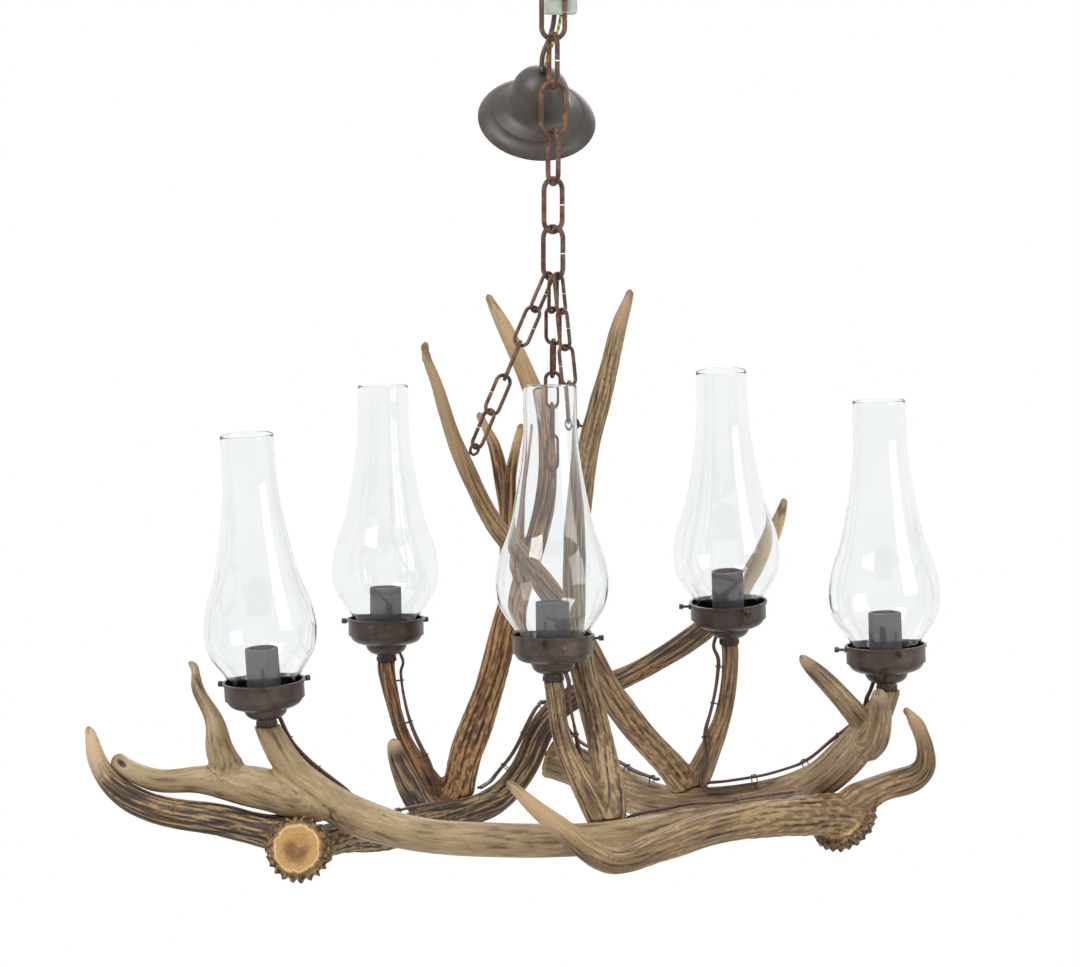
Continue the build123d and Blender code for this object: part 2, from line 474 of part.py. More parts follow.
def ceiling_rose():
    """A bell of sheet metal with a domed top and a stepped skirt, and the screw beside its cord hole."""
    tip, t = ROSE_HEIGHT, ROSE_SHEET

    def outline(inset):
        top = tip - inset
        dome = ROSE_DOME - inset
        line = ThreePointArc((0, top), (dome * 0.72, top - dome * 0.31), (dome, top - dome * 1.02))
        line += Spline((dome, top - dome * 1.02), (dome + 3.6, 21 - inset), (ROSE_STEP - inset, 13.5 - inset),
                       tangents=((0.05, -1), (1, -0.45)))
        line += Line((ROSE_STEP - inset, 13.5 - inset), (ROSE_STEP + 1 - inset, 11.6 - inset))
        line += ThreePointArc((ROSE_STEP + 1 - inset, 11.6 - inset), (57 - inset, 7.6 - inset),
                              (ROSE_RADIUS - inset, 0))
        return line

    outer = outline(0) + Line((ROSE_RADIUS, 0), (0, 0)) + Line((0, 0), (0, tip))
    inner = outline(t) + Line((ROSE_RADIUS - t, 0), (0, 0)) + Line((0, 0), (0, tip - t))
    shell = revolve(Plane.XZ * make_face(outer), Axis.Z) - revolve(Plane.XZ * make_face(inner), Axis.Z)
    shell -= Pos(0, 0, tip) * Cylinder(GRIP_RADIUS * 0.7, 6 * t)
    return shell


def rose_place():
    """The rose leans with its tip up and towards the viewer, just behind the second link."""
    axis = Vector(*ROSE_AXIS).normalized()
    tip = Vector(ROSE_RIGHT, link_back(1) + ROSE_BEHIND, LINK_CENTRES[1] - ROSE_BELOW)
    return Plane(tip - axis * ROSE_HEIGHT, x_dir=square_to((1, 0, 0), axis), z_dir=axis).location


def cord_grip():
    """The grip in the rose's cord hole, with a round head, and a small clamping screw on its side."""
    stem = Pos(0, 0, ROSE_HEIGHT - 2.5) * Cylinder(GRIP_RADIUS * 0.7, 7.0)
    head = Pos(0, 0, ROSE_HEIGHT + GRIP_RADIUS * 0.8) * Sphere(GRIP_RADIUS)
    screw = Pos(GRIP_RADIUS + 1.2, -1, ROSE_HEIGHT + GRIP_RADIUS * 0.8) * Rot(0, 90, 0) * Cylinder(1.6, 4.5)
    return stem + head + screw


def terminal_block():
    """The rounded block that joins the wires, held against the back of the first link."""
    at = (BLOCK_RIGHT, link_back(0) + CONTACT + BLOCK_SIZE[1] / 2, HOOK_SEAT - BLOCK_UNDER - BLOCK_SIZE[2] / 2)
    return Pos(*at) * fillet(Box(*BLOCK_SIZE).edges(), BLOCK_ROUNDING)


def flex_and_earth():
    """The brown sleeve and the earth wire, from the rose's grip up behind the second link to the block."""
    place = rose_place()
    head = (place * Pos(0, 0, ROSE_HEIGHT + GRIP_RADIUS * 0.8)).position
    behind = max(link_back(1) + CONTACT + FLEX_RADIUS, head.Y)
    foot = HOOK_SEAT - BLOCK_UNDER - BLOCK_SIZE[2]
    high = foot - head.Z
    sleeve = [(head.X - FLEX_APART, head.Y, head.Z), (head.X - 0.5, behind, head.Z + 0.28 * high),
              (head.X + 6.5, behind, head.Z + 0.55 * high), (BLOCK_RIGHT - 7.0, behind, head.Z + 0.8 * high),
              (BLOCK_RIGHT - 5.0, behind - 0.5, foot + BLOCK_ROUNDING)]
    earth = [(x + FLEX_SIDE + 0.4 * i, y, z) for i, (x, y, z) in enumerate(sleeve)]
    earth[0] = (head.X + 2 * FLEX_APART, head.Y, head.Z + 2 * FLEX_APART)
    return tube(sleeve, FLEX_RADIUS), tube(earth, EARTH_RADIUS)


# ---------------------------------------------------------------- lamps, upright with the seat at the origin
RIM = WASHER_THICK + CUP_NECK + CUP_BASE[2] + CUP_BOWL[2] + CUP_BAND
BAND_FOOT = RIM - CUP_BAND
BOWL_FOOT = BAND_FOOT - CUP_BOWL[2]
BASE_FOOT = BOWL_FOOT - CUP_BASE[2]
SCREW_HEIGHT = RIM - SCREW_BELOW
SCREW_TIP = GLASS_FOOT + CONTACT
HOLDER_BOTTOM = WASHER_THICK + CUP_SHEET
HOLDER_TOP = RIM + HOLDER_ABOVE


def lamp_place(lamp):
    """Where a lamp's seat is, tilted by its lean."""
    runs, name, end = lamp["run"]
    seat = Vector(*runs[name][end][:3]) + RING_PLACE
    right, away = lamp["lean"]
    return Location(seat) * Location((0, 0, 0), (-away, right, 0))


def lamp_axis(lamp):
    """The way up a lamp leans."""
    return Plane(lamp_place(lamp)).z_dir


def cup_filled(inset):
    """The cup's outer form, or its inner one at an inset, as a full solid up to the rim and past it."""
    bowl_top, bowl_foot, bowl_high = CUP_BOWL
    base_top, base_foot, base_high = CUP_BASE
    up = inset
    top = RIM + (5 if inset else 0)
    line = Line((0, WASHER_THICK + up), (base_foot - inset, WASHER_THICK + up))
    line += Line((base_foot - inset, WASHER_THICK + up), (base_foot - inset, BASE_FOOT + up))
    line += EllipticalCenterArc((base_foot - inset, BOWL_FOOT + up), base_top - base_foot, base_high, -90,
                                arc_size=90)
    line += Line((base_top - inset, BOWL_FOOT + up), (bowl_foot - inset, BOWL_FOOT + up))
    line += EllipticalCenterArc((bowl_foot - inset, BAND_FOOT + up), bowl_top - bowl_foot, bowl_high, -90,
                                arc_size=90)
    line += Line((bowl_top - inset, BAND_FOOT + up), (CUP_RADIUS - inset, BAND_FOOT + up))
    line += Line((CUP_RADIUS - inset, BAND_FOOT + up), (CUP_RADIUS - inset, top))
    line += Line((CUP_RADIUS - inset, top), (0, top))
    line += Line((0, top), (0, WASHER_THICK + up))
    return revolve(Plane.XZ * make_face(line), Axis.Z)


def gallery(turn):
    """The cup that carries a chimney: stepped bowl, straight band, rolled rim, three threaded bosses."""
    cup = cup_filled(0)
    cup += Pos(0, 0, RIM - 1.2) * (Cylinder(CUP_RADIUS + CUP_FLARE, 2.4))
    cup -= cup_filled(CUP_SHEET)
    for k in range(3):
        place = Pos(0, 0, SCREW_HEIGHT) * Rot(0, 0, turn + 120 * k - 90) * Rot(0, 90, 0)
        cup += place * Pos(0, 0, CUP_RADIUS + BOSS_LENGTH / 2 - 0.2) * Cylinder(BOSS_RADIUS, BOSS_LENGTH + 0.4)
        cup -= place * Pos(0, 0, CUP_RADIUS) * Cylinder(SCREW_RADIUS + SCREW_FIT, 12)
    cup -= Pos(0, 0, WASHER_THICK) * Cylinder(NIPPLE_RADIUS, 6 * CUP_SHEET)
    return cup


def thumbscrew(turn, k):
    """One of the three screws that keep the chimney in its cup, with a waisted knob."""
    length = CUP_RADIUS + SCREW_REACH - SCREW_TIP
    shank = Pos(0, 0, SCREW_TIP + length / 2) * Cylinder(SCREW_RADIUS, length)
    end = CUP_RADIUS + SCREW_REACH
    knob = Pos(0, 0, end - KNOB_LENGTH / 2) * Cylinder(KNOB_RADIUS, KNOB_LENGTH)
    knob -= Pos(0, 0, end - KNOB_LENGTH / 2) * (Cylinder(KNOB_RADIUS + 1, 0.9) - Cylinder(KNOB_RADIUS - 0.5, 1))
    return Pos(0, 0, SCREW_HEIGHT) * Rot(0, 0, turn + 120 * k - 90) * Rot(0, 90, 0) * (shank + knob)


def lampholder():
    """The dark lampholder: a foot on the cup's floor, and a sleeve with the lamp's threaded shell inside."""
    sleeve_foot = HOLDER_BOTTOM + HOLDER_LIFT
    body = Pos(0, 0, (sleeve_foot + HOLDER_TOP) / 2) * Cylinder(HOLDER_RADIUS, HOLDER_TOP - sleeve_foot)
    body = fillet(body.edges().group_by(Axis.Z)[-1], 1.2)
    body += Pos(0, 0, HOLDER_BOTTOM + HOLDER_LIFT / 2) * Cylinder(HOLDER_FOOT, HOLDER_LIFT)
    shell = LAMP_THREAD + SHELL_SHEET
    depth = LAMP_THREAD_DEPTH + CONTACT_HEIGHT + 6
    body -= Pos(0, 0, HOLDER_TOP - depth / 2) * Cylinder(shell, depth)
    return body - Pos(0, 0, HOLDER_BOTTOM) * Cylinder(NIPPLE_RADIUS, HOLDER_LIFT)


def lamp_contacts():
    """The brass screw shell and the spring contact at its bottom."""
    outer = LAMP_THREAD + SHELL_SHEET
    top = HOLDER_TOP - 3
    shell = Pos(0, 0, top - LAMP_THREAD_DEPTH / 2) * Cylinder(outer, LAMP_THREAD_DEPTH)
    shell -= Pos(0, 0, top - LAMP_THREAD_DEPTH / 2) * Cylinder(LAMP_THREAD, LAMP_THREAD_DEPTH)
    floor = HOLDER_TOP - LAMP_THREAD_DEPTH - CONTACT_HEIGHT - 6
    pin = Pos(0, 0, floor + CONTACT_HEIGHT / 2) * Cylinder(CONTACT_PIN, CONTACT_HEIGHT)
    return [shell, pin]


def washer_and_nipple():
    """The notched washer on the sawn antler, and the threaded tube through it into lamp and antler."""
    washer = Pos(0, 0, WASHER_THICK / 2) * Cylinder(WASHER_RADIUS, WASHER_THICK)
    notch = Pos(WASHER_RADIUS, 0, WASHER_THICK / 2) * Cylinder(1.1, WASHER_THICK)
    for k in range(WASHER_TEETH):
        washer -= Rot(0, 0, 360 * k / WASHER_TEETH) * notch
    high = HOLDER_BOTTOM + HOLDER_LIFT / 2
    tube = Pos(0, 0, (high - NIPPLE_DEPTH) / 2) * Cylinder(NIPPLE_RADIUS, high + NIPPLE_DEPTH)
    return washer + tube


def chimney():
    """The glass: a straight foot standing in the cup's bowl, a round belly and a tall slender neck."""
    bowl_top, bowl_foot, bowl_high = CUP_BOWL
    share = (GLASS_FOOT + CUP_SHEET - bowl_foot) / (bowl_top - bowl_foot)
    foot = BAND_FOOT - bowl_high * math.sqrt(1 - share ** 2) + CUP_SHEET + CONTACT
    top = RIM + GLASS_HEIGHT

    def wall(inset):
        points = [(27.3 - inset, top)]
        points += [(r - inset, RIM + share_up * GLASS_HEIGHT) for share_up, r in GLASS_OUTLINE]
        points += [(GLASS_FOOT - inset, RIM - 2)]
        return Spline(*points, tangents=((0, -1), (0, -1)))

    line = wall(0) + Line((GLASS_FOOT, RIM - 2), (GLASS_FOOT, foot))
    line += Line((GLASS_FOOT, foot), (GLASS_FOOT - GLASS_WALL, foot))
    line += Line((GLASS_FOOT - GLASS_WALL, foot), (GLASS_FOOT - GLASS_WALL, RIM - 2))
    line += wall(GLASS_WALL) + Line((27.3 - GLASS_WALL, top), (27.3, top))
    return revolve(Plane.XZ * make_face(line), Axis.Z)


# ---------------------------------------------------------------- leads and joint screws
def lead_route(lead):
    """The middle of one lead, point by point, and the way that faces off the antler at each."""
    route = []
    if "lamp" in lead:
        turned = lamp_place(LAMPS[lead["lamp"]]) * Rot(0, 0, lead["exit"])
        out = Plane(turned).x_dir
        route.append(((turned * Pos(CUP_BASE[1] + 2, 0, BASE_FOOT + 7)).position, out))
        route.append(((turned * Pos(WASHER_RADIUS + LEAD_SWEEP, 0, -2)).position, out))
    for step in lead["route"]:
        if len(step) == 2:
            place, side = step
            route.append((Vector(*place) + RING_PLACE, Vector(*side).normalized()))
        else:
            run, station, side, *lift = step
            middle, radius, heading = place_on(run, station)
            out = square_to(side, heading)
            middle += RING_PLACE + out * (radius + LEAD_RADIUS + LEAD_OFF + sum(lift))
            route.append((middle, out))
    return route


def lead_frames(route):
    """At each point of a lead: the point, the way across its two wires, and the way off the antler."""
    frames = []
    for i, (point, out) in enumerate(route):
        heading = (route[min(i + 1, len(route) - 1)][0] - route[max(i - 1, 0)][0]).normalized()
        across = heading.cross(out).normalized()
        frames.append((point, across, across.cross(heading)))
    return frames


def tie(before, after):
    """A bent wire over the two wires of a lead, halfway between two of its points."""
    point = (before[0] + after[0]) / 2
    heading = (after[0] - before[0]).normalized()
    across = square_to(before[1] + after[1], heading)
    out = across.cross(heading)
    reach = LEAD_PITCH / 2 + LEAD_RADIUS + TIE_RADIUS + TIE_GAP
    down = LEAD_RADIUS + TIE_DEPTH
    high = LEAD_RADIUS + TIE_RADIUS + TIE_GAP
    corners = [point - across * reach - out * down, point - across * reach + out * high,
               point + across * reach + out * high, point + across * reach - out * down]
    path = FilletPolyline(*corners, radius=1.8)
    return sweep(Plane(path @ 0, z_dir=path % 0) * Circle(TIE_RADIUS), path=path)


def leads(name, cups):
    """The leads of one node, and the bent wires that hold them."""
    wires = []
    ties = []
    for number, lead in enumerate(LEADS[name]):
        frames = lead_frames(lead_route(lead))
        for side in (-LEAD_PITCH / 2, LEAD_PITCH / 2):
            wire = tube([point + across * side for point, across, _ in frames], LEAD_RADIUS)
            if "lamp" in lead:
                wire -= cups[lead["lamp"]]
            wires.append(wire)
        ties += [tie(frames[at], frames[at + 1]) for which, at in TIES[name] if which == number]
    return wires, ties


def joint_screws():
    """The countersunk screws that hold the antlers together."""
    screws = []
    for screw in JOINT_SCREWS:
        into = Vector(*screw["into"]).normalized()
        place = Plane(Vector(*screw["head"]) + RING_PLACE, z_dir=into).location
        bottom = (Align.CENTER, Align.CENTER, Align.MIN)
        shank = place * Cylinder(JOINT_SCREW, screw["length"], align=bottom)
        head = place * Cone(JOINT_HEAD, JOINT_SCREW, JOINT_HEAD - JOINT_SCREW, align=bottom)
        screws.append(one_solid(shank + head))
    return screws


# ---------------------------------------------------------------- building and writing
def group(shapes):
    """Several pieces of one kind as one node."""
    return Compound(children=[one_solid(shape) for shape in shapes])


def chain_nodes():
    """The hook, the heavy chain, the light chains and their screw eyes."""
    nodes = {"ceiling_hook": ceiling_hook()}
    for i, link in enumerate(heavy_links()):
        nodes[f"chain_link_{i + 1}"] = link
    eyes = []
    for i, side in enumerate(("left", "rear", "right")):
        links, eye = leg_and_eye(i)
        nodes[f"leg_chain_{side}"] = group(links)
        eyes.append(eye)
    nodes["screw_eyes"] = group(eyes)
    return nodes


def rose_nodes():
    """The ceiling rose with its grip, the terminal block, and the cords between them."""
    place = rose_place()
    grip = place * cord_grip()
    block = terminal_block()
    flex, earth = flex_and_earth()
    return {"ceiling_rose": (place * ceiling_rose()) - grip, "cord_grip": grip, "terminal_block": block,
            "rose_flex": flex - grip - block, "earth_cord": earth - grip - block}


def lamp_nodes():
    """The five lamps."""
    nodes = {}
    contacts = []
    for i, lamp in enumerate(LAMPS):
        at = lamp_place(lamp)
        number = i + 1
        nodes[f"gallery_{number}"] = at * gallery(lamp["turn"])
        nodes[f"lampholder_{number}"] = at * lampholder()
        nodes[f"chimney_{number}"] = at * chimney()
        for k, word in enumerate(("front", "right", "left")):
            nodes[f"thumbscrew_{number}_{word}"] = at * thumbscrew(lamp["turn"], k)
        contacts += [at * piece for piece in lamp_contacts()]
    nodes["lamp_contacts"] = group(contacts)
    nodes["gallery_fixings"] = group([lamp_place(lamp) * washer_and_nipple() for lamp in LAMPS])
    return nodes


def antler_nodes(inserts):
    """The seven antlers, coped round each other and cut by what is screwed into them."""
    seats = {}
    for lamp in LAMPS:
        runs, name, end = lamp["run"]
        seats.setdefault(id(runs), {})[name] = {end % len(runs[name]): lamp_axis(lamp)}
    whole = {f"antler_{name}": antler(runs, seats.get(id(runs))) for name, runs in ANTLERS.items()}
    whole["antler_left_rear"] += burr(LEFT_REAR["beam"], 0)
    whole["antler_front_right"] += burr(FRONT_RIGHT["beam"], 0)
    coped = dict(whole)
    for standing, carrying in COPED:
        coped[standing] = one_solid(coped[standing] - whole[carrying])
    for name, shape in coped.items():
        box = shape.bounding_box()
        near = [piece for piece in inserts if box.overlaps(piece.bounding_box())]
        coped[name] = one_solid(shape - near)
    return coped


def build():
    """Every node's shape, by name."""
    nodes = chain_nodes() | rose_nodes() | lamp_nodes()
    screws = joint_screws()
    inserts = screws + list(nodes["gallery_fixings"].solids()) + list(nodes["screw_eyes"].solids())
    nodes["antler_screws"] = group(screws)
    cups = [lamp_place(lamp) * cup_filled(0) for lamp in LAMPS]
    ties = []
    for name in LEADS:
        wires, more = leads(name, cups)
        nodes[name] = group(wires)
        ties += more
    nodes["wire_ties"] = group(ties)
    nodes |= antler_nodes(inserts + list(nodes["wire_ties"].solids()))
    return nodes


if __name__ == "__main__":
    os.makedirs("parts", exist_ok=True)
    for node, shape in build().items():
        export_step(shape, f"parts/{node}.step")
        print(node, len(shape.solids()), round(sum(s.volume for s in shape.solids())))
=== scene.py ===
# %% [markdown]
# # An antler chandelier
#
# Seven antlers carry five glass lamps and hang from a chain. Four of them lie joined in a ring, and three
# stand on it. The metal arrives as finished solids. The antlers arrive as smooth round limbs, so this
# lesson spends most of its length on them: how a smooth limb gets its ridges, its pearls and its polished
# points. The glass is made again at the end, as rounder surfaces.

# %% Load the frame
import json
import math
import bmesh
import bpy
import numpy as np
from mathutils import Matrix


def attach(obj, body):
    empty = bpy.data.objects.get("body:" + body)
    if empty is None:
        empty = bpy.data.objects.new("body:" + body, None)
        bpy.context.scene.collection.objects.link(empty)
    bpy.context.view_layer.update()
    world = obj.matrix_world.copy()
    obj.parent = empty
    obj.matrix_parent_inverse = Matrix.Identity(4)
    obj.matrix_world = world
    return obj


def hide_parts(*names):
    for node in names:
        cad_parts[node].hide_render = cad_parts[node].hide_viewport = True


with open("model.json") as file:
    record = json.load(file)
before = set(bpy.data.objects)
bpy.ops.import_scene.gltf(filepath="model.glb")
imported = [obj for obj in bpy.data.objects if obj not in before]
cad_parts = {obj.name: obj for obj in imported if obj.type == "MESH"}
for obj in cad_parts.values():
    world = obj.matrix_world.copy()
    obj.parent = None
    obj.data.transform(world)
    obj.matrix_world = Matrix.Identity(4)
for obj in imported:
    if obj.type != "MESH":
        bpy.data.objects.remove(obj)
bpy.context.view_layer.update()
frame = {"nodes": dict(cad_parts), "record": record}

nodes = frame["nodes"]
scene = bpy.context.scene

# %% [markdown]
# ## The camera
#
# The photograph was taken with a long lens from a little above the lamps: the rims of the lamps show as
# narrow ellipses. The camera looks at a point on the middle of the frame from four metres away.

# %% Camera
LENS = 127.0                    # millimetres
SENSOR = 36.0                   # width of the camera's sensor, in millimetres
DISTANCE = 4.0                  # metres
LOOK_DOWN = math.radians(6.4)
AIM = (-0.01365, 0.0, -0.579)   # what the middle of the frame shows


def make_camera():
    """A camera at DISTANCE from AIM, raised by the angle that it looks down."""
    data = bpy.data.cameras.new("camera")
    data.lens = LENS
    data.sensor_width = SENSOR
    data.sensor_fit = "HORIZONTAL"
    data.clip_end = 60.0
    camera = bpy.data.objects.new("camera", data)
    back, above = DISTANCE * math.cos(LOOK_DOWN), DISTANCE * math.sin(LOOK_DOWN)
    camera.location = (AIM[0], AIM[1] - back, AIM[2] + above)
    camera.rotation_euler = (math.pi / 2 - LOOK_DOWN, 0, 0)
    scene.collection.objects.link(camera)
    scene.camera = camera


make_camera()

# %% [markdown]
# ## Light
#
# The photograph is a catalogue picture: white all round, with soft shadows. A white world does most of
# that. Three large lamps give the antlers their form: the strongest from the upper left, a weak one from
# the right and one from behind.
# Glass and metal need something darker to reflect, so the world is a little grey for the light that falls
# on things, and pure white only where the camera, a reflection or the glass looks straight at it.

# %% World and lamps
WORLD_LIGHT = 0.55              # how much light the world gives
LAMPS = (                       # place, size and power
    ((-2.0, -2.2, 2.2), 2.0, 120.0),
    ((2.6, -1.8, 0.3), 1.8, 34.0),
    ((0.6, 2.4, 1.2), 2.0, 45.0),
)


def make_world():
    """Light Path picks white for straight looks, reflections and glass, and WORLD_LIGHT for the rest."""
    world = bpy.data.worlds.new("studio")
    scene.world = world
    world.use_nodes = True
    tree = world.node_tree
    back = tree.nodes["Background"]
    path = tree.nodes.new("ShaderNodeLightPath")
    seen = path.outputs["Is Camera Ray"]
    for name in ("Is Glossy Ray", "Is Transmission Ray"):
        larger = tree.nodes.new("ShaderNodeMath")
        larger.operation = "MAXIMUM"
        tree.links.new(seen, larger.inputs[0])
        tree.links.new(path.outputs[name], larger.inputs[1])
        seen = larger.outputs[0]
    strength = tree.nodes.new("ShaderNodeMapRange")
    strength.inputs["To Min"].default_value = WORLD_LIGHT
    tree.links.new(seen, strength.inputs["Value"])
    tree.links.new(strength.outputs[0], back.inputs["Strength"])
    back.inputs["Color"].default_value = (1, 1, 1, 1)


def make_lamp(place, size, power):
    """A square soft lamp that faces AIM."""
    data = bpy.data.lights.new("soft_lamp", "AREA")
    data.size = size
    data.energy = power
    lamp = bpy.data.objects.new("soft_lamp", data)
    lamp.location = place
    towards = [a - b for a, b in zip(AIM, place)]
    across = math.hypot(towards[0], towards[1])
    tilt = math.atan2(across, -towards[2])
    turn = math.atan2(towards[1], towards[0]) - math.pi / 2
    lamp.rotation_euler = (tilt, 0, turn)
    lamp.visible_camera = False
    scene.collection.objects.link(lamp)


make_world()
for lamp in LAMPS:
    make_lamp(*lamp)
scene.view_settings.view_transform = "Standard"

# %% [markdown]
# ## Shader sums as Python
#
# A finish is easier to read as a formula than as a picture of boxes. The class below wraps a socket, so
# that `mask * 0.5 + 0.2` adds the Math nodes by itself. Every other node comes from one method that takes
# its type, its settings and what goes into its sockets.


# %% Sockets that do sums
class Socket:
    """A socket of a finish. Sums on it add Math nodes to the finish's tree."""

    def __init__(self, finish, socket):
        self.finish = finish
        self.socket = socket

    def _math(self, operation, *values):
        return self.finish.add("ShaderNodeMath", {"operation": operation}, values)

    def __add__(self, other):
        return self._math("ADD", self, other)

    def __sub__(self, other):
        return self._math("SUBTRACT", self, other)

    def __rsub__(self, other):
        return self._math("SUBTRACT", other, self)

    def __mul__(self, other):
        return self._math("MULTIPLY", self, other)

    def ramp(self, low, high):
        """0 at low, 1 at high, smooth between them and held outside."""
        return self.finish.add("ShaderNodeMapRange", {"interpolation_type": "SMOOTHSTEP"},
                               {"Value": self, "From Min": low, "From Max": high})


class Finish:
    """A material with one Principled shader, built from sockets."""

    def __init__(self, name, **constants):
        self.material = bpy.data.materials.new(name)
        self.material.use_nodes = True
        self.tree = self.material.node_tree
        self.shader = self.tree.nodes["Principled BSDF"]
        for socket, value in constants.items():
            self.shader.inputs[socket.replace("_", " ")].default_value = value

    def add(self, kind, settings=None, values=(), output=0):
        """A node of a kind: its settings, then a value or a socket for each input, by place or name."""
        node = self.tree.nodes.new(kind)
        for setting, value in (settings or {}).items():
            setattr(node, setting, value)
        pairs = values.items() if isinstance(values, dict) else enumerate(values)
        for place, value in pairs:
            if isinstance(value, Socket):
                self.tree.links.new(value.socket, node.inputs[place])
            else:
                node.inputs[place].default_value = value
        return Socket(self, node.outputs[output])

    def place(self):
        """Where a point is on the object, in metres."""
        return self.add("ShaderNodeTexCoord", output="Object")

    def clouds(self, where, size, detail):
        """Cloudy noise at the places of a socket, with lumps of about size metres."""
        return self.add("ShaderNodeTexNoise", values={"Vector": where, "Scale": 1.0 / size, "Detail": detail})

    def noise(self, size, detail=3.0):
        """Cloudy noise over the object."""
        return self.clouds(self.place(), size, detail)

    def attribute(self, name, output="Fac"):
        """A number that was stored at each vertex of the mesh, or with output Vector, three."""
        return self.add("ShaderNodeAttribute", {"attribute_name": name}, output=output)

    def streaks(self, size, length, detail=3.0):
        """Noise drawn out along a limb: lumps of size metres across, and length times as long."""
        where = self.add("ShaderNodeMapping", values={"Vector": self.attribute("limb", "Vector"),
                                                      "Scale": (1, 1, 1 / length)})
        return self.clouds(where, size, detail)

    def mix(self, share, first, second):
        """One colour turning into another as share goes from 0 to 1. Colours have places 6, 7 and 2."""
        return self.add("ShaderNodeMix", {"data_type": "RGBA"}, {0: share, 6: first, 7: second}, output=2)

    def set(self, name, value):
        """Links a socket to one of the shader's inputs."""
        self.tree.links.new(value.socket, self.shader.inputs[name])

    def bump(self, height, depth):
        """Lets a height between 0 and 1 stand depth metres proud in the light."""
        self.set("Normal", self.add("ShaderNodeBump", values={"Distance": depth, "Height": height}))


def linear(level):
    """The linear light of a level from 0 to 255, by the sRGB curve: straight near black, then a power."""
    if level < 10.3:
        return level / 255 / 12.92
    return ((level / 255 + 0.055) / 1.055) ** 2.4


def colour(red, green, blue):
    """A colour as it reads in a picture, 0 to 255, turned into the linear light that a shader takes."""
    return (linear(red), linear(green), linear(blue), 1.0)


# %% [markdown]
# ## The limbs of the antlers
#
# The ridges of an antler run along its limbs, so their pattern needs to know where along a limb, and where
# round it, each point of the skin lies. The routes below are the middles of the limbs in millimetres, the
# heights counted from the level of the ring, each with its radius. They are the same routes that the solid
# antlers were lofted on.

